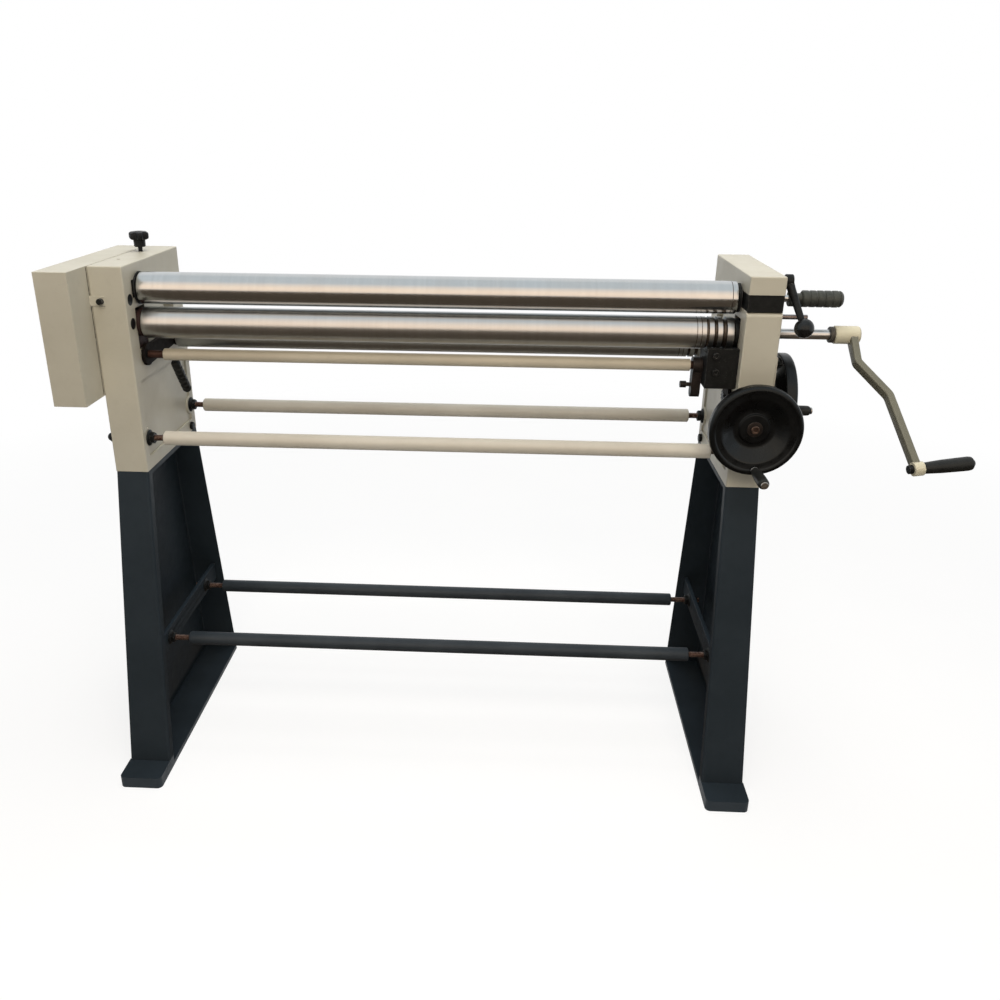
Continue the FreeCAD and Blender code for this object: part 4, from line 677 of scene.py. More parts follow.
def socketed(limit: float, share: float) -> Shape:
    """Gives a shape that makes a screw's socket six-sided.

    Args:
        limit: the radius under which the profile is the socket.
        share: how much of the profile's radius the flats keep.

    Returns:
        The shape, for Maker.turned.
    """
    def shape(along: float, radius: float, angle: float) -> float:
        """Draws the socket's flats in and leaves its corners."""
        return radius * share / math.cos(off_flat(angle)) if 0.1 < radius < limit else radius
    return shape


def threaded(pitch: float, depth: float, low: float, high: float) -> Shape:
    """Gives a shape that winds a thread round a rod.

    Args:
        pitch: the distance from one turn to the next.
        depth: how deep the valleys are.
        low: where the thread starts.
        high: where it ends.

    Returns:
        The shape, for Maker.turned.
    """
    def shape(along: float, radius: float, angle: float) -> float:
        """Sinks the radius in the thread's valleys."""
        phase = (along / pitch - angle / (2 * math.pi)) % 1.0
        return radius - depth * (1.0 - abs(2.0 * phase - 1.0)) if low <= along <= high else radius
    return shape


def nut_profile(low: float, high: float, flats: float, bore: float) -> list[Pair]:
    """Gives the profile of a chamfered nut.

    Args:
        low: where its low face is.
        high: where its high face is.
        flats: the distance across its flats.
        bore: its bore's radius.

    Returns:
        The profile, from the low face to the high face.
    """
    corner = flats / math.sqrt(3)
    seat = flats / 2 * 0.95
    drop = (corner - flats / 2 * 0.97) * 0.5
    return [(low + 0.3, bore), (low, bore + 0.4), (low, seat), (low + drop, corner),
            (high - drop, corner), (high, seat), (high, bore + 0.8), (high - 0.8, bore)]


def ribs(start: float, pitch: float, count: int, rib: Sequence[Pair]) -> list[Pair]:
    """Gives the profile of a grip's ribs, each counted from its own start, a pitch apart."""
    return [(start + pitch * k + along, radius) for k in range(count) for along, radius in rib]


def steps_between(low: float, high: float, step: float) -> list[float]:
    """Gives evenly spaced values from low to high, no further apart than step."""
    count = max(1, math.ceil((high - low) / step))
    return [low + (high - low) * k / count for k in range(count + 1)]


# ---------------------------------------------------------------- sub-assemblies
@dataclass
class Castings:
    """The two side castings, their plugs, bracket, side plate and gear cover."""

    seam: Pair = (-736.4, -735.1)
    seam_front: float = -69.0
    seam_back: float = 261.6
    seam_floor: float = 964.0
    seam_top: float = 1249.7
    seam_depth: float = 6.0
    cover_screw_at: Triple = (-712.0, -84.0, 1176.0)
    knurl_radius: float = 6.9
    knurls: int = 32
    knurl_depth: float = 0.35

    def build(self) -> None:
        """Dresses the castings and makes what is fixed to them."""
        for node, finish, ease in (
                ("left_frame", Finishes.CREAM, 2.2), ("right_frame", Finishes.CREAM, 2.2),
                ("gear_cover", Finishes.CREAM, 1.0), ("right_side_plate", Finishes.CREAM, 1.0),
                ("shaft_bracket", Finishes.BLACK, 1.5), ("frame_plugs", Finishes.PLASTIC, 0.8),
                ("rest_pin", Finishes.PIN, 0.8), ("shaft_bushes", Finishes.BRONZE, 0.5)):
            dress(node, finish, ease)
        self.cover_screw()
        self.socket_screws()
        self.seam_strip()

    def seam_strip(self) -> None:
        """Makes the painted strip that closes the seam between gear cover and casting."""
        maker = Maker()
        front, back, floor, top, deep = (self.seam_front, self.seam_back, self.seam_floor, self.seam_top,
                                         self.seam_depth)
        outline = [(front, floor), (front, top), (back, top), (back, floor)]
        inner = [(front + deep, floor), (front + deep, top - deep), (back - deep, top - deep),
                 (back - deep, floor)]
        for a, b, c, d in zip(outline, outline[1:], inner[1:], inner):
            maker.loops([[(x, *spot) for spot in (a, b, c, d)] for x in self.seam])
        maker.build("cover_seam_strip", Finishes.CREAM, "frame")

    def cover_screw(self) -> None:
        """Makes the knurled screw that holds the gear cover's tab."""
        r = self.knurl_radius

        def knurl(along: float, radius: float, angle: float) -> float:
            """Cuts a straight knurl in the head's rim."""
            valley = self.knurl_depth * (0.5 + 0.5 * math.cos(self.knurls * angle))
            return radius - (valley if radius > r - 0.4 else 0.0)
        profile = rounded([(0, 0), (0, r - 0.9), (1.0, r), (10.5, r), (11.5, r - 0.9), (11.5, 3.2), (12, 3.0),
                           (28, 3.0), (28, 0)], 0.5, 3)
        turned_piece("cover_thumb_screw", Finishes.BLACK, "frame", ["cover_screw"], profile,
                     self.cover_screw_at, Axis.Y.way, 144, knurl)

    def socket_screws(self) -> None:
        """Makes the socket-headed screws of the bracket and of the side plate."""
        screws = (("bracket_socket_screws", "bracket_screws", -Axis.Y.way, 7.5, 7.0, 16.0,
                   [(611, -50, 1077), (613, -50, 1041)]),
                  ("side_plate_socket_screws", "side_plate_screws", Axis.X.way, 5.0, 3.5, 0.2,
                   [(739, y, z) for y in (-57, 61) for z in (904, 1070)]))
        for name, node, way, radius, height, shank, spots in screws:
            maker = Maker()
            floor = height - min(3.2, height - 0.8)
            head = rounded([(floor, 0), (floor, radius * 0.48), (height, radius * 0.5),
                            (height, radius * 0.9), (height - 0.6, radius), (0, radius)], 0.25, 2)
            tail = [(0, radius * 0.55), (-shank, radius * 0.55), (-shank, 0)]
            for spot in spots:
                maker.turned([*head, *tail], spot, way, 48, socketed(radius * 0.52, 0.93))
            maker.build(name, Finishes.BLACK, "frame", [node])


@dataclass
class Stand:
    """The folded legs, their cross bars and the rods that hold both sides apart."""

    face: float = 660.0
    bar_face: float = 681.0
    outer: float = 735.0
    stud: float = 7.0
    stud_start: float = 560.0
    low_stud: Pair = (620.0, 707.0)
    tie_stud: Pair = (615.0, 749.0)
    thread_pitch: float = 2.0
    thread_depth: float = 0.9
    nut: float = 24.0
    back_nut: float = 22.0
    side_nut: float = 19.0
    side_bolt: Pair = (223.0, 796.0)
    base_bolt_x: float = 697.5
    base_bolt_z: float = 762.0
    base_bolt_rows: Pair = (-30.0, 190.0)
    tube: float = 16.5
    low_half: float = 629.0
    tie_half: float = 623.0
    bar: float = 10.0
    low_rods: tuple[Pair, ...] = ((-19.5, 308.0), (254.0, 308.0))
    tie_rods: tuple[Pair, ...] = ((-38.0, 855.0), (238.0, 850.0))

    def build(self) -> None:
        """Dresses the legs and makes the rods, studs, nuts and bolts."""
        for node, ease in (("left_leg", 1.6), ("right_leg", 1.6), ("left_cross_bar", 1.0),
                           ("right_cross_bar", 1.0)):
            dress(node, Finishes.STAND, ease)
        for nodes, finish, spots, half in (
                (("front_stand_rod", "rear_stand_rod"), Finishes.STAND_ROD_PAINTED_HIGHLIGHT, self.low_rods, self.low_half),
                (("front_tie_rod", "rear_tie_rod"), Finishes.ROD_CREAM_PAINTED_HIGHLIGHT, self.tie_rods, self.tie_half)):
            for node, spot in zip(nodes, spots):
                self.spacer(node, finish, spot, half)
        self.studs()
        self.nuts()
        self.caps()
        self.bolts()

    def spacer(self, node: str, finish: Finish, spot: Pair, half: float) -> None:
        """Makes one spacer tube with dressed ends.

        Args:
            node: the tube's solid.
            finish: its finish.
            spot: where its axis is, as (y, z).
            half: half its length.
        """
        r, bore = self.tube, self.stud + 0.3
        end = [(half - 2.0, r), (half, r - 2.0), (half, bore + 1), (half - 5, bore)]
        turned_piece("tube_" + node, finish, "frame", [node], rounded([*mirrored(end), *end], 0.8, 3),
                     (0, *spot), Axis.X.way, 64)

    def studs(self) -> None:
        """Makes the threaded studs in the ends of the tubes."""
        maker = Maker()
        for rods, (bare, end) in ((self.low_rods, self.low_stud), (self.tie_rods, self.tie_stud)):
            low, high = bare + 0.5, end - 1.0
            thread = threaded(self.thread_pitch, self.thread_depth, low, high)
            spots = [self.stud_start, bare, *steps_between(low, high, 0.5)]
            profile = [(self.stud_start, 0.0), *[(a, self.stud) for a in spots], (end, self.stud - 1.0),
                       (end, 0.0)]
            for spot in rods:
                for sign in (-1.0, 1.0):
                    maker.turned(profile, (0, *spot), sign * Axis.X.way, 28, thread)
        maker.build("threaded_studs", Finishes.STUD, "frame", ["rod_studs"], 50.0)

    def nuts(self) -> None:
        """Makes the flange nuts and the nuts behind the cross bars."""
        bore = self.stud + 0.1
        for name, node, rods, face, flange, bar in (
                ("stand_nuts", "stand_rod_nuts", self.low_rods, self.bar_face, 18.5, self.bar),
                ("tie_nuts", "tie_rod_nuts", self.tie_rods, self.face, 19.0, 0.0)):
            maker = Maker()
            disc = rounded([(face, bore), (face, flange - 0.5), (face - 1.6, flange), (face - 4.6, 13.2),
                            (face - 4.6, bore)], [0, 0.5, 1.2, 0.5, 0], 3)
            for spot in rods:
                for sign in (-1.0, 1.0):
                    at, way = (0, *spot), sign * Axis.X.way
                    maker.turned(disc, at, way, 64)
                    maker.turned(nut_profile(face - 14.0, face - 4.4, self.nut, bore), at, way, 72,
                                 six_sided(self.nut))
                    if bar:
                        low = face + bar
                        maker.turned(nut_profile(low, low + 10.0, self.back_nut, bore), at, way, 72,
                                     six_sided(self.back_nut))
            maker.build(name, Finishes.BLACK, "frame", [node])

    def caps(self) -> None:
        """Makes the domed cap nuts on the outer ends of the tie rods' studs."""
        maker = Maker()
        top = self.outer + 12.0
        hexed = nut_profile(self.outer, top, self.nut, 7.4)[:-2]
        angles = (math.radians(9 * k) for k in range(11))
        dome = [(top + 10.0 * math.sin(a), 10.0 * math.cos(a)) for a in angles]
        for spot in self.tie_rods:
            for sign in (-1.0, 1.0):
                maker.turned([*hexed, *dome], (0, *spot), sign * Axis.X.way, 72, six_sided(self.nut))
        maker.build("cap_nuts", Finishes.BLACK, "frame", ["tie_rod_cap_nuts"])

    def bolts(self) -> None:
        """Makes the bolts that hold the castings to the legs."""
        maker = Maker()
        side = [(-6, 0), (-6, 6.0), (0, 6.0), *nut_profile(0.0, 8.0, self.side_nut, 6.0)[2:6], (8.0, 0)]
        base = [(0, 0), (0, 9.0), (0.8, 10.0), (7.2, 10.0), (8, 9.4), (8, 6.0), (54, 6.0), (54, 0)]
        for sign in (-1.0, 1.0):
            maker.turned(side, (sign * self.face, *self.side_bolt), -sign * Axis.X.way, 72,
                         six_sided(self.side_nut))
            for y in self.base_bolt_rows:
                maker.turned(base, (sign * self.base_bolt_x, y, self.base_bolt_z), Axis.Z.way, 48)
        maker.build("casting_bolts", Finishes.BLACK, "frame", ["frame_bolts"])


@dataclass
class Rolls:
    """The three ground rolls with their wire grooves and journals, and what carries them."""

    radius: float = 35.0
    half: float = 650.0
    shoulder: float = 650.5
    upper: float = 1194.0
    lower: float = 1117.0
    rear: Pair = (185.01, 1051.9)
    wire_grooves: tuple[Pair, ...] = ((593.0, 3.0), (610.0, 4.0), (629.0, 5.0))
    fine_lines: tuple[Pair, ...] = ((570.0, 0.7), (580.0, 0.7))
    end_line: Pair = (637.0, 0.7)

    def groove(self, centre: float, wire: float) -> list[Pair]:
        """Gives the profile of one half-round groove.

        Args:
            centre: where its middle is along the roll.
            wire: its radius.

        Returns:
            The profile, from its low to its high side.
        """
        arc = [(centre - wire * math.cos(a), self.radius - wire * math.sin(a) - 0.02)
               for a in (math.pi * k / 12 for k in range(13))]
        return [(centre - wire - 0.5, self.radius), *arc, (centre + wire + 0.5, self.radius)]

    def barrel(self, grooves: Sequence[Pair]) -> list[Pair]:
        """Gives the barrel's profile with its grooves and eased ends.

        Args:
            grooves: centres and radii of the grooves.

        Returns:
            The profile, from the left end to the right end.
        """
        ends = rounded([(-self.half, 16.0), (-self.half, self.radius - 2.0), (-self.half + 2.0, self.radius),
                        (-self.half + 60.0, self.radius)], 0.8, 3)
        cuts = [point for centre, wire in sorted(grooves) for point in self.groove(centre, wire)]
        return [*ends, *cuts, *mirrored(ends[:-1])]

    def tip(self, end: float, radius: float) -> list[Pair]:
        """Gives the eased end of a journal, out to its centre."""
        return [(end - 1.0, radius), (end, radius - 1.0), (end, 3.0), (end, 0.0)]

    def journal(self, end: float, radius: float) -> list[Pair]:
        """Gives a plain journal, from the barrel out to its end."""
        return [(self.shoulder, radius), *self.tip(end, radius)]

    def roll(self, name: str, spot: Pair, grooves: Sequence[Pair], left: Sequence[Pair],
             right: Sequence[Pair], body: str, node: str, finish: Finish) -> None:
        """Makes one roll with its journals.

        Args:
            name: the piece's name.
            spot: where its axis is, as (y, z).
            grooves: centres and radii of its grooves.
            left: the left journal's profile, from the barrel outwards.
            right: the right journal's profile, from the barrel outwards.
            body: the body that it rides on.
            node: the solid that it stands for.
            finish: the steel's finish.
        """
        maker = Maker()
        profile = [*mirrored(left), *self.barrel(grooves), *right]
        maker.turned(profile, (0, *spot), Axis.X.way, 160)
        piece = maker.build(name, finish, body, [node], 28.0, [Finishes.GROOVE])
        middle = (Vector((0.0, *spot)) - ORIGIN) * MM
        # Faces inside the grooves take the darker groove finish.
        for face in piece.data.polygons:
            away = math.hypot(face.center.y - middle.y, face.center.z - middle.z)
            if abs(face.center.x - middle.x) < (self.half - 1.0) * MM and away < (self.radius - 0.3) * MM:
                face.material_index = 1

    def build(self) -> None:
        """Makes the rolls and dresses their blocks, gears and arms."""
        grooves = [*self.wire_grooves, *self.fine_lines]
        self.roll("upper_forming_roll", (0.0, self.upper), [self.end_line], self.journal(786.0, 14.0),
                  [(self.shoulder, 12.5), (740.0, 12.5), (741.0, 11.5), (741.2, 8.0), *self.tip(802.0, 8.0)],
                  "upper_roll", "upper_roll", Finishes.ROLL)
        self.roll("lower_forming_roll", (0.0, self.lower), grooves, self.journal(786.0, 15.0),
                  [(self.shoulder, 15.0), (735.4, 15.0), (736.0, 14.4), (736.2, 11.0),
                   *self.tip(905.0, 11.0)], "lower_drive", "lower_roll", Finishes.ROLL_SATIN)
        self.roll("rear_bending_roll", self.rear, grooves, self.journal(688.0, 12.0),
                  self.journal(688.0, 12.0), "rear_roll", "rear_roll", Finishes.ROLL_SATIN)
        for node, finish, ease in (("upper_left_block", Finishes.BLACK, 1.0),
                                   ("upper_right_block", Finishes.BLACK, 1.0),
                                   ("lower_right_block", Finishes.BLACK, 1.0),
                                   ("lower_left_block", Finishes.RED, 1.0),
                                   ("upper_gear", Finishes.GEAR, 0.4), ("lower_gear", Finishes.GEAR, 0.4),
                                   ("rear_left_arm", Finishes.SOOTED, 1.0),
                                   ("rear_right_arm", Finishes.SOOTED, 1.0)):
            dress(node, finish, ease)


@dataclass
class PullGrip:
    """The ridged black grip on the upper roll's end."""

    height: float = 1194.0

    def build(self) -> None:
        """Makes the grip with its flange, neck and ridges."""
        neck = [(762.0, 8.2), (762.0, 16.0), (763.0, 17.0), (775.0, 17.0), (776.0, 16.0),
                (776.4, 11.5), (788.0, 11.5), (788.4, 14.5), (790.0, 16.8)]
        ridges = ribs(791.0, 15.6, 5, [(0.0, 17.6), (1.0, 17.9), (10.6, 17.9), (11.6, 17.5), (12.6, 15.9),
                                       (14.4, 15.9)])
        end = [(868.5, 17.3), (870.5, 17.3), (873.4, 15.2), (875.6, 12.6), (876.0, 11.0), (876.0, 0.0)]
        turned_piece("ridged_pull_grip", Finishes.PULL, "upper_roll", ["pull_grip"],
                     [*neck, *ridges, *end], (0, 0, self.height), Axis.X.way, 96)


@dataclass
class CrossShaft:
    """The shaft under the rolls with its cams, stop arm and lever."""

    height: float = 1043.5
    lean: float = 35.0
    lever_at: float = -600.0
    stud: float = 9.0
    stud_end: float = 716.0

    def build(self) -> None:
        """Makes the tube and lever, and dresses the cams and arms."""
        profile = rounded([(-612, 9.2), (-616, 9.6), (-616, 12.5), (-615, 13.5), (566, 13.5), (567, 12.5),
                           (567, 9.6), (563, 9.2)], 0.4, 2)
        turned_piece("lift_cross_tube", Finishes.SHAFT, "cross_shaft", ["cross_shaft"], profile,
                     (0, 0, self.height), Axis.X.way, 64)
        ends = Maker()
        for sign, spots in ((-1.0, [540.0, *steps_between(600.0, 648.0, 0.6)]), (1.0, [500.0, 560.0])):
            profile = [(spots[0], 0.0), *[(a, self.stud) for a in spots], (self.stud_end - 1.0, self.stud),
                       (self.stud_end, self.stud - 1.0), (self.stud_end, 0.0)]
            ends.turned(profile, (0, 0, self.height), sign * Axis.X.way, 40)
        ends.build("cross_shaft_studs", Finishes.STUD, "cross_shaft", ["cross_shaft_ends"], 50.0)
        self.lever()
        for node, finish, ease in (("lift_cams", Finishes.BROWNED, 0.6), ("lift_rocker", Finishes.BLACK, 0.6),
                                   ("stop_arm", Finishes.BROWNED, 1.2), ("lift_nut", Finishes.BLACK, 0.8)):
            dress(node, finish, ease)

    def lever(self) -> None:
        """Makes the lever's stem and ribbed grip."""
        angle = math.radians(self.lean)
        way = Vector((0, math.sin(angle), -math.cos(angle)))
        stem = [(9.6, 0.0), (9.6, 5.0), (24.0, 5.0), (24.3, 7.4), (25.5, 8.2), (29.0, 10.2)]
        ridges = ribs(30.0, 14.6, 6, [(0.0, 10.4), (1.0, 10.6), (9.8, 10.6), (10.8, 10.3), (11.6, 9.0),
                                      (13.4, 9.0)])
        end = [(118.5, 10.5), (122.5, 10.5), (126.5, 8.6), (128.0, 6.0), (128.0, 0.0)]
        turned_piece("ribbed_shaft_lever", Finishes.GRIP, "cross_shaft", ["shaft_lever"],
                     [*stem, *ridges, *end], (self.lever_at, 0, self.height), way)


@dataclass
class HandWheel:
    """A dished handwheel with its centre bolt and its spinning grip."""

    name: str = "front"
    origin: Triple = (697.5, -100.0, 931.0)
    way: Triple = (0.0, -1.0, 0.0)
    across: Triple = (5.0, 0.0, -86.86)
    washer: float = 4.0
    rim: float = 100.0
    grip_seat: float = 24.0

    @property
    def body(self) -> str:
        """Gives the name of the wheel's body and solid."""
        return self.name + "_wheel"

    def disc_profile(self) -> list[Pair]:
        """Gives the wheel's section.

        Returns:
            The profile: hub, dish, web, rolled rim and front.
        """
        back = [(-26.0, 9.2), (-26.0, 22.5), (-24.5, 24.0), (-8.0, 24.0), (-6.8, 25.5), (-7.0, 44.0),
                (13.0, 73.0), (14.0, 84.0), (8.0, 88.0), (2.0, 90.0)]
        rim = [(-2.0 + 3.0 * (1 - math.cos(a)), 94.5 + 5.0 * math.sin(a)) for a in (0.3, 0.8, 1.2)]
        outer = [(4.0, self.rim), (17.0, self.rim), (20.8, 98.6), (23.2, 95.4), (24.0, 91.5), (23.2, 88.5),
                 (21.4, 86.0), (20.4, 80.0), (19.6, 74.0), (18.4, 71.0)]
        front = [(0.8, 45.5), (0.0, 42.0), (0.0, 34.6), (1.4, 33.0), (3.4, 32.0), (3.8, 30.0), (3.8, 9.2)]
        return rounded([*back, *rim, *outer, *front], 1.4, 3)

    def build(self) -> None:
        """Makes the wheel, its bolt, its spindle and its grip."""
        way, w = Vector(self.way), self.washer
        turned_piece(self.name + "_handwheel", Finishes.WHEEL, self.body, [self.body],
                     self.disc_profile(), self.origin, way, 144)
        ring = rounded([(w, 5.0), (w, 16.2), (w + 0.8, 17.0), (w + 2.2, 17.0), (w + 3.0, 16.2),
                        (w + 3.0, 5.0)], 0.4, 2)
        turned_piece(self.name + "_wheel_washer", Finishes.WASHER, self.body, [self.body + "_nut"], ring,
                     self.origin, way)
        bolt = [(w + 6.0, 0.0), (w + 6.0, 4.1), (w + 8.6, 4.3), (w + 9.0, 5.0), (w + 9.0, 7.8),
                (w + 8.0, 9.0), (w + 3.0, 9.0), (w + 2.5, 8.0), (w, 8.0), (w, 0.0)]
        turned_piece(self.name + "_wheel_bolt", Finishes.COPPER, self.body, [], bolt, self.origin, way,
                     60, socketed(4.5, 0.95))
        self.grip(way)

    def grip(self, way: Vector) -> None:
        """Makes the spinning grip on its spindle.

        Args:
            way: the direction in which it stands off the wheel.
        """
        base = tuple(Vector(self.origin) + Vector(self.across) + way * self.grip_seat)
        pin = [(-9, 0), (-9, 5), (-0.1, 5), (0, 7.8), (0.8, 8.5), (2.8, 8.5), (3.6, 7.8), (3.7, 5),
               (84.2, 5), (84.4, 7.2), (85.2, 8.0), (87.4, 8.0), (88.4, 7.0), (88.4, 1.6), (87.2, 1.2),
               (87.2, 0)]
        turned_piece(self.name + "_grip_spindle_pin", Finishes.BRIGHT, self.body,
                     [self.name + "_grip_spindle"], pin, base, way, 48)
        sleeve = rounded([(4.2, 5.2), (4.2, 8.2), (5.0, 9.0), (9.0, 9.6), (20.0, 10.4), (34.0, 11.4),
                          (54.0, 12.0), (70.0, 12.0), (79.0, 11.6), (83.2, 9.6), (84.0, 7.0), (84.0, 5.2)],
                         3.0, 4)
        turned_piece(self.name + "_wheel_spinner", Finishes.GRIP, self.body + "_grip",
                     [self.body + "_grip"], sleeve, base, way, 64)


@dataclass
class Crank:
    """The crank on the lower roll: hub, bent arm, collar, bolt and grip."""

    height: float = 1117.0
    lean: float = 49.0
    path: tuple[Pair, ...] = ((908.0, 0.0), (908.0, -73.0), (960.0, -154.0), (985.0, -326.0))
    bends: tuple[float, ...] = (0.0, 16.0, 26.0, 0.0)
    thick: float = 7.5
    half_width: float = 11.0
    flare: float = 3.0

    def placed(self, x: float, y: float, z: float) -> Triple:
        """Leans a point of the hanging crank towards the front."""
        a = math.radians(self.lean)
        return (x, y * math.cos(a) + z * math.sin(a), self.height - y * math.sin(a) + z * math.cos(a))

    def grip_frame(self) -> tuple[Vector, Vector]:
        """Gives where the grip stands.

        Returns:
            The grip's foot and its direction, leaned.
        """
        (ax, az), (bx, bz) = self.path[-2:]
        size = math.hypot(bx - ax, bz - az)
        foot = Vector(self.placed(bx, 0, bz))
        tip = Vector(self.placed(bx - (bz - az) / size, 0, bz + (bx - ax) / size))
        return foot, (tip - foot).normalized()

    def section(self, share: float) -> list[Pair]:
        """Gives the arm's rounded bar section, a little wider at the hub.

        Args:
            share: how far along the arm it is, from 0 to 1.

        Returns:
            The section's corners.
        """
        half = self.half_width + self.flare * max(0.0, 1.0 - share / 0.2)
        corners = [(-self.thick, -half), (self.thick, -half), (self.thick, half), (-self.thick, half)]
        return rounded(corners, 2.6, 4, True)

    def build(self) -> None:
        """Makes the crank's pieces."""
        foot, way = self.grip_frame()
        self.casting(foot, way)
        collar = rounded([(859, 11.2), (859, 16.5), (860, 17.5), (867.5, 17.5), (868.5, 16.5),
                          (868.5, 11.2)], 0.4, 2)
        turned_piece("crank_shaft_collar", Finishes.BLACK_TURNED, "lower_drive", ["crank_collar"], collar,
                     (0, 0, self.height), Axis.X.way)
        pin = [(-17.0, 0), (-17.0, 8.4), (-16.2, 9.5), (-9.0, 9.5), (-8.05, 8.6), (-8.05, 5.0), (113.4, 5.0),
               (113.5, 6.4), (114.2, 7.0), (116.2, 7.0), (117.0, 6.2), (117.0, 0)]
        turned_piece("crank_grip_pin", Finishes.BLACK, "lower_drive", ["crank_grip_bolt"], pin, tuple(foot),
                     way, 48, six_sided(17.2))
        grip = rounded([(14.0, 5.2), (14.0, 10.4), (15.2, 11.5), (30.0, 12.4), (50.0, 13.6), (80.0, 14.2),
                        (104.0, 14.5), (110.5, 13.6), (113.0, 11.0), (113.0, 5.2)], 3.0, 4)
        turned_piece("crank_spinner", Finishes.GRIP, "crank_grip", ["crank_grip"], grip, tuple(foot), way)

    def casting(self, foot: Vector, way: Vector) -> None:
        """Makes the hub, the bent arm and the eye, the hub and eye in a lighter copy of the cream paint as
        painted highlight and the arm in a darker copy as painted shade.

        Args:
            foot: the middle of the eye.
            way: the eye's axis.
        """
        maker = Maker()
        hub = rounded([(869, 11.2), (869, 18.0), (870.5, 19.5), (920, 19.5), (923, 16.5), (923, 0)], 1.2, 3)
        maker.turned(hub, (0, 0, self.height), Axis.X.way)
        line = rounded([(x, 0.0, z) for x, z in self.path], self.bends, 7)
        a = math.radians(self.lean)
        first = len(maker.faces)
        maker.swept([self.placed(*p) for p in line], self.section, Vector((0, math.cos(a), -math.sin(a))))
        last = len(maker.faces)
        eye = rounded([(-8.0, 5.2), (-8.0, 13.4), (-7.0, 14.5), (11.6, 14.5), (13.0, 13.2), (13.0, 5.2)],
                      0.8, 3)
        maker.turned(eye, tuple(foot), way, 64)
        piece = maker.build("crank_casting", Finishes.CRANK_CREAM_PAINTED_HIGHLIGHT, "lower_drive", ["crank_arm"],
                            extra=[Finishes.CRANK_ARM_PAINTED_SHADE])
        # The arm's faces take the darker copy of the paint, painted shade.
        for index in range(first, last):
            piece.data.polygons[index].material_index = 1


@dataclass
class ClampLever:
    """The ball lever over the upper roll's right bearing."""

    pin: Triple = (749.0, -30.0, 1236.0)
    ball: Triple = (775.0, -91.0, 1149.0)
    radius: float = 20.0

    def build(self) -> None:
        """Makes the hub with its arm, and the ball."""
        hub = rounded([(-47, 0), (-47, 6.4), (-46.4, 7.0), (-8.2, 7.0), (-8, 12.8), (-6.8, 14.0),
                       (7.0, 14.0), (8.0, 13.0), (8.0, 8.0), (7.0, 7.0), (7.0, 0)], 0.6, 3)
        arm = Vector(self.ball) - Vector(self.pin)
        reach, way = arm.length, arm.normalized()
        taper = [(4.0, 0.0), (4.0, 9.6), (12.0, 9.2), (18.0, 8.7), (reach * 0.6, 7.4), (reach - 9.0, 6.4),
                 (reach - 8.5, 0.0)]
        maker = Maker()
        maker.turned(hub, self.pin, Axis.X.way)
        maker.turned(taper, self.pin, way, 40)
        maker.build("clamp_lever_arm", Finishes.BLACK, "clamp", ["clamp_lever"])
        angles = (math.radians(-68 + 158 * k / 40) for k in range(41))
        globe = [(self.radius * math.sin(a), self.radius * math.cos(a)) for a in angles]
        seat = [(globe[0][0] + 1.2, 6.2), (globe[0][0], 6.9)]
        turned_piece("clamp_lever_ball", Finishes.BALL, "clamp", ["clamp_ball"], [*seat, *globe],
                     self.ball, way)


@dataclass
class StarKnob:
    """The lobed knob on top of the left casting."""

    spot: Pair = (-710.0, 162.0)
    lobes: int = 6
    core: float = 13.5
    scoop: float = 0.62

    def lobed(self, along: float, radius: float, angle: float) -> float:
        """Scoops the hollows between the lobes.

        Args:
            along: the distance along the axis, not used.
            radius: the profile's radius there.
            angle: the angle round the axis.

        Returns:
            The radius with the hollow taken off.
        """
        if radius < self.core + 0.3:
            return radius
        dip = (0.5 - 0.5 * math.cos(self.lobes * angle)) ** 1.5
        return radius - (radius - self.core) * self.scoop * dip

    def build(self) -> None:
        """Makes the knob with its skirt and stem."""
        profile = [(1206, 0), (1206, 4.2), (1206.8, 5.0), (1260.8, 5.0), (1261.0, 11.8), (1262.2, 13.0),
                   (1275.0, 13.4), (1276.5, 14.2), (1277.6, 18.0), (1279.2, 21.6), (1282.0, 23.0),
                   (1290.0, 23.2), (1293.2, 22.0), (1295.2, 18.6), (1295.9, 14.0), (1295.9, 8.4),
                   (1295.2, 7.8), (1295.2, 0.0)]
        turned_piece("star_lock_knob", Finishes.PLASTIC, "star_knob", ["star_knob"], profile, (*self.spot, 0),
                     Axis.Z.way, 144, self.lobed)


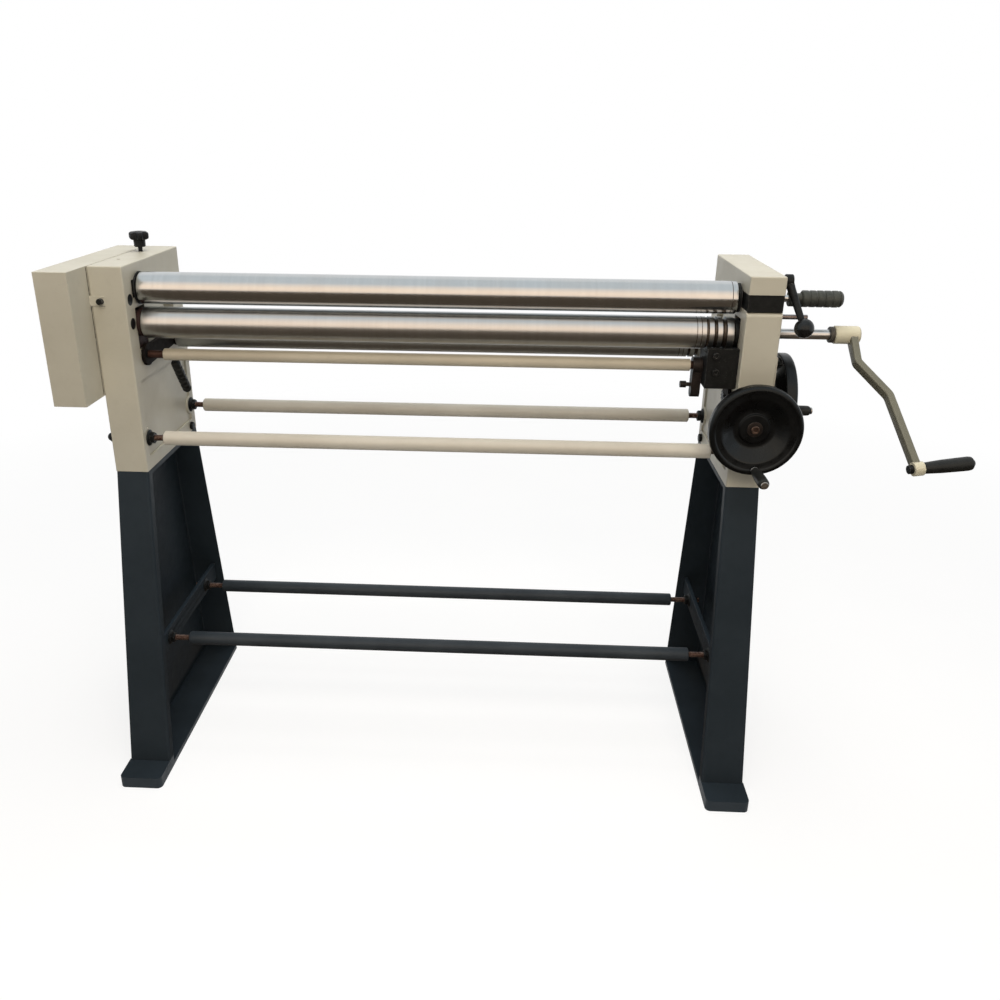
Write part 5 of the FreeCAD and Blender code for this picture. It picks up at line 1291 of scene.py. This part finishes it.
@dataclass
class Studio:
    """The floor, backdrop, lamps and camera."""

    eye: Triple = (173.8, -1938.5, 1544.1)
    yaw: float = 2.6
    pitch: float = 21.3
    roll: float = -0.5
    focal: float = 888.3
    centre: Pair = (472.1, 466.9)
    width: float = 1000.0
    sensor: float = 36.0
    sight: float = 100.0
    floor_reach: float = 60.0
    floor_dark: Colour = (0.66, 0.655, 0.65)
    floor_light: Colour = (0.69, 0.685, 0.68)
    fade: Pair = (1.2, 3.4)
    card_side: float = 4.0
    # The flags' colour, a painted dark reflection in the rolls' lower half.
    dark: Colour = (0.088, 0.066, 0.047)
    room: Colour = (0.95, 0.97, 1.0)
    room_strength: float = 0.1

    def camera(self) -> None:
        """Makes the camera."""
        yaw, pitch, roll = (math.radians(v) for v in (self.yaw, self.pitch, self.roll))
        ahead = Vector((-math.sin(yaw) * math.cos(pitch), math.cos(yaw) * math.cos(pitch), -math.sin(pitch)))
        right = Vector((math.cos(yaw), math.sin(yaw), 0.0))
        down = ahead.cross(right)
        level = right * math.cos(roll) + down * math.sin(roll)
        drop = down * math.cos(roll) - right * math.sin(roll)
        lens = bpy.data.cameras.new("camera")
        lens.sensor_width = self.sensor
        lens.lens = self.focal / self.width * self.sensor
        lens.shift_x = (self.width / 2 - self.centre[0]) / self.width
        lens.shift_y = (self.centre[1] - self.width / 2) / self.width
        lens.clip_end = self.sight
        holder = bpy.data.objects.new("camera", lens)
        turn = Matrix((level, -drop, -ahead)).transposed().to_4x4()
        holder.matrix_world = Matrix.Translation((Vector(self.eye) - ORIGIN) * MM) @ turn
        bpy.context.scene.collection.objects.link(holder)
        bpy.context.scene.camera = holder

    def lamp(self, name: str, spot: Triple, aim: Triple, size: Pair, power: float, colour: Colour) -> None:
        """Adds a soft rectangular lamp.

        Args:
            name: the lamp's name.
            spot: where it hangs, in metres.
            aim: the point that it faces.
            size: its width and height.
            power: its power in watts.
            colour: its colour.
        """
        data = bpy.data.lights.new(name, "AREA")
        data.shape = "RECTANGLE"
        data.size, data.size_y = size
        data.energy = power
        data.color = colour
        holder = bpy.data.objects.new(name, data)
        holder.location = spot
        holder.rotation_mode = "QUATERNION"
        holder.rotation_quaternion = (Vector(aim) - Vector(spot)).to_track_quat("-Z", "Y")
        bpy.context.scene.collection.objects.link(holder)
        holder.visible_camera = holder.visible_glossy = False

    def sheet(self, name: str, corners: Sequence[Triple]) -> bpy.types.Object:
        """Adds one flat face that belongs to the studio.

        Args:
            name: its name.
            corners: its four corners, in metres.

        Returns:
            The new object.
        """
        mesh = bpy.data.meshes.new(name)
        mesh.from_pydata(list(corners), [], [(0, 1, 2, 3)])
        piece = bpy.data.objects.new(name, mesh)
        bpy.context.scene.collection.objects.link(piece)
        return piece

    def floor(self) -> None:
        """Makes the pale floor, which takes shadows near the machine and glows evenly further out."""
        reach = self.floor_reach
        piece = self.sheet("floor", [(-reach, -reach, 0), (reach, -reach, 0), (reach, reach, 0),
                                     (-reach, reach, 0)])
        g = Graph("pale_floor")
        speck = g.ramp(g.noise(3.0, 3.0, 0.5), 0.3, 0.7)
        base = g.mix(speck, self.floor_dark, self.floor_light)
        diffuse = g.add("BsdfDiffuse", {"Color": base}).outputs[0]
        away = g.add("VectorMath", {0: g.coords}, operation="LENGTH").outputs["Value"]
        thin = g.add("MixShader", {0: g.ramp(away, *self.fade, 0.62, 1.0), 1: diffuse}).outputs[0]
        strength = g.ramp(away, *self.fade, 0.8, 1.0)
        glow = g.add("Emission", {"Color": opaque(WHITE), "Strength": strength}).outputs[0]
        lit = g.add("AddShader", {0: thin, 1: glow}).outputs[0]
        path = g.add("LightPath").outputs
        sharp = g.math("MAXIMUM", path["Is Glossy Ray"], path["Is Transmission Ray"])
        seen = g.math("MAXIMUM", path["Is Camera Ray"], sharp)
        shown = g.add("MixShader", {0: seen, 1: diffuse, 2: lit}).outputs[0]
        g.tree.links.new(shown, g.out.inputs[0])
        piece.data.materials.append(g.material)

    def card(self, name: str, low: Pair, high: Pair, colour: Colour, top_colour: Colour | None) -> None:
        """Hangs a glowing card that only polished metal sees, a painted reflection that lights nothing.

        Args:
            name: the card's name.
            low: where its lower edge is, as (y, z) in metres.
            high: where its upper edge is.
            colour: its colour, or its lower edge's colour.
            top_colour: its upper edge's colour, or None for one colour.
        """
        side = self.card_side
        piece = self.sheet(name, [(-side, *low), (side, *low), (side, *high), (-side, *high)])
        g = Graph(name)
        tone = opaque(colour)
        if top_colour is not None:
            height = g.add("SeparateXYZ", {0: g.coords}).outputs["Z"]
            bottom, top = low[1], high[1]
            tone = g.mix(g.ramp(height, bottom + 0.35 * (top - bottom), top), colour, top_colour)
        glow = g.add("Emission", {"Color": tone, "Strength": 1.0}).outputs[0]
        g.tree.links.new(glow, g.out.inputs[0])
        piece.data.materials.append(g.material)
        piece.visible_camera = piece.visible_diffuse = piece.visible_shadow = False
        piece.visible_transmission = piece.visible_volume_scatter = False

    def sky(self) -> None:
        """Lights the scene from all round with a pale grey room that looks white."""
        world = bpy.data.worlds.new("room")
        world.use_nodes = True
        bpy.context.scene.world = world
        nodes, links = world.node_tree.nodes, world.node_tree.links
        nodes.clear()
        out = nodes.new("ShaderNodeOutputWorld")
        mixer = nodes.new("ShaderNodeMixShader")
        for index, colour, strength in ((1, self.room, self.room_strength), (2, WHITE, 1.0)):
            ground = nodes.new("ShaderNodeBackground")
            ground.inputs["Color"].default_value = opaque(colour)
            ground.inputs["Strength"].default_value = strength
            links.new(ground.outputs[0], mixer.inputs[index])
        path = nodes.new("ShaderNodeLightPath").outputs
        both = nodes.new("ShaderNodeMath")
        either = nodes.new("ShaderNodeMath")
        both.operation = either.operation = "MAXIMUM"
        links.new(path["Is Glossy Ray"], both.inputs[0])
        links.new(path["Is Transmission Ray"], both.inputs[1])
        links.new(path["Is Camera Ray"], either.inputs[0])
        links.new(both.outputs[0], either.inputs[1])
        links.new(either.outputs[0], mixer.inputs[0])
        links.new(mixer.outputs[0], out.inputs[0])

    def build(self) -> None:
        """Makes the room, the lamps and the cards that paint reflections on the polished metal."""
        self.sky()
        self.floor()
        self.lamp("top", (0.0, -0.2, 4.2), (0.0, 0.0, 1.0), (1.8, 3.0), 102.0, (1.0, 1.0, 0.98))
        self.lamp("key", (0.2, -2.8, 3.1), (0.0, 0.0, 1.0), (2.4, 1.2), 62.0, (1.0, 0.88, 0.72))
        self.lamp("back", (-0.6, 2.6, 2.8), (0.0, 0.2, 1.0), (3.0, 1.0), 12.0, (0.8, 0.92, 1.0))
        # Painted reflections: dark flags below and in front, a warm highlight band and a pale sky above, seen
        # only by polished metal.
        self.card("floor_reflection_flag", (1.4, 0.03), (-3.4, 0.03), self.dark, None)
        self.card("front_reflection_flag", (-3.4, 0.03), (-3.4, 1.05), self.dark, None)
        self.card("warm_reflection_card", (-3.4, 1.15), (-2.2, 4.6), (1.62, 1.27, 0.99), (0.92, 0.93, 0.93))
        self.card("sky_reflection_card", (-2.2, 4.6), (1.6, 4.9), (0.84, 0.875, 0.89), None)
        LOG.info("lit the studio")


def main() -> None:
    """Builds the machine's looks and the studio."""
    logging.basicConfig(level=logging.INFO, format="%(name)s: %(message)s")
    Castings().build()
    Stand().build()
    Rolls().build()
    PullGrip().build()
    CrossShaft().build()
    HandWheel().build()
    HandWheel("side", (768.0, 24.97, 966.2), Axis.X.value, (0.0, 69.6, -52.2)).build()
    for node in ("front_wheel_screw", "side_wheel_shaft"):
        dress(node, Finishes.BLACK, 0.4)
    Crank().build()
    ClampLever().build()
    StarKnob().build()
    studio = Studio()
    studio.camera()
    bpy.context.scene.view_settings.view_transform = "Standard"
    studio.build()


if __name__ == "__main__":
    main()
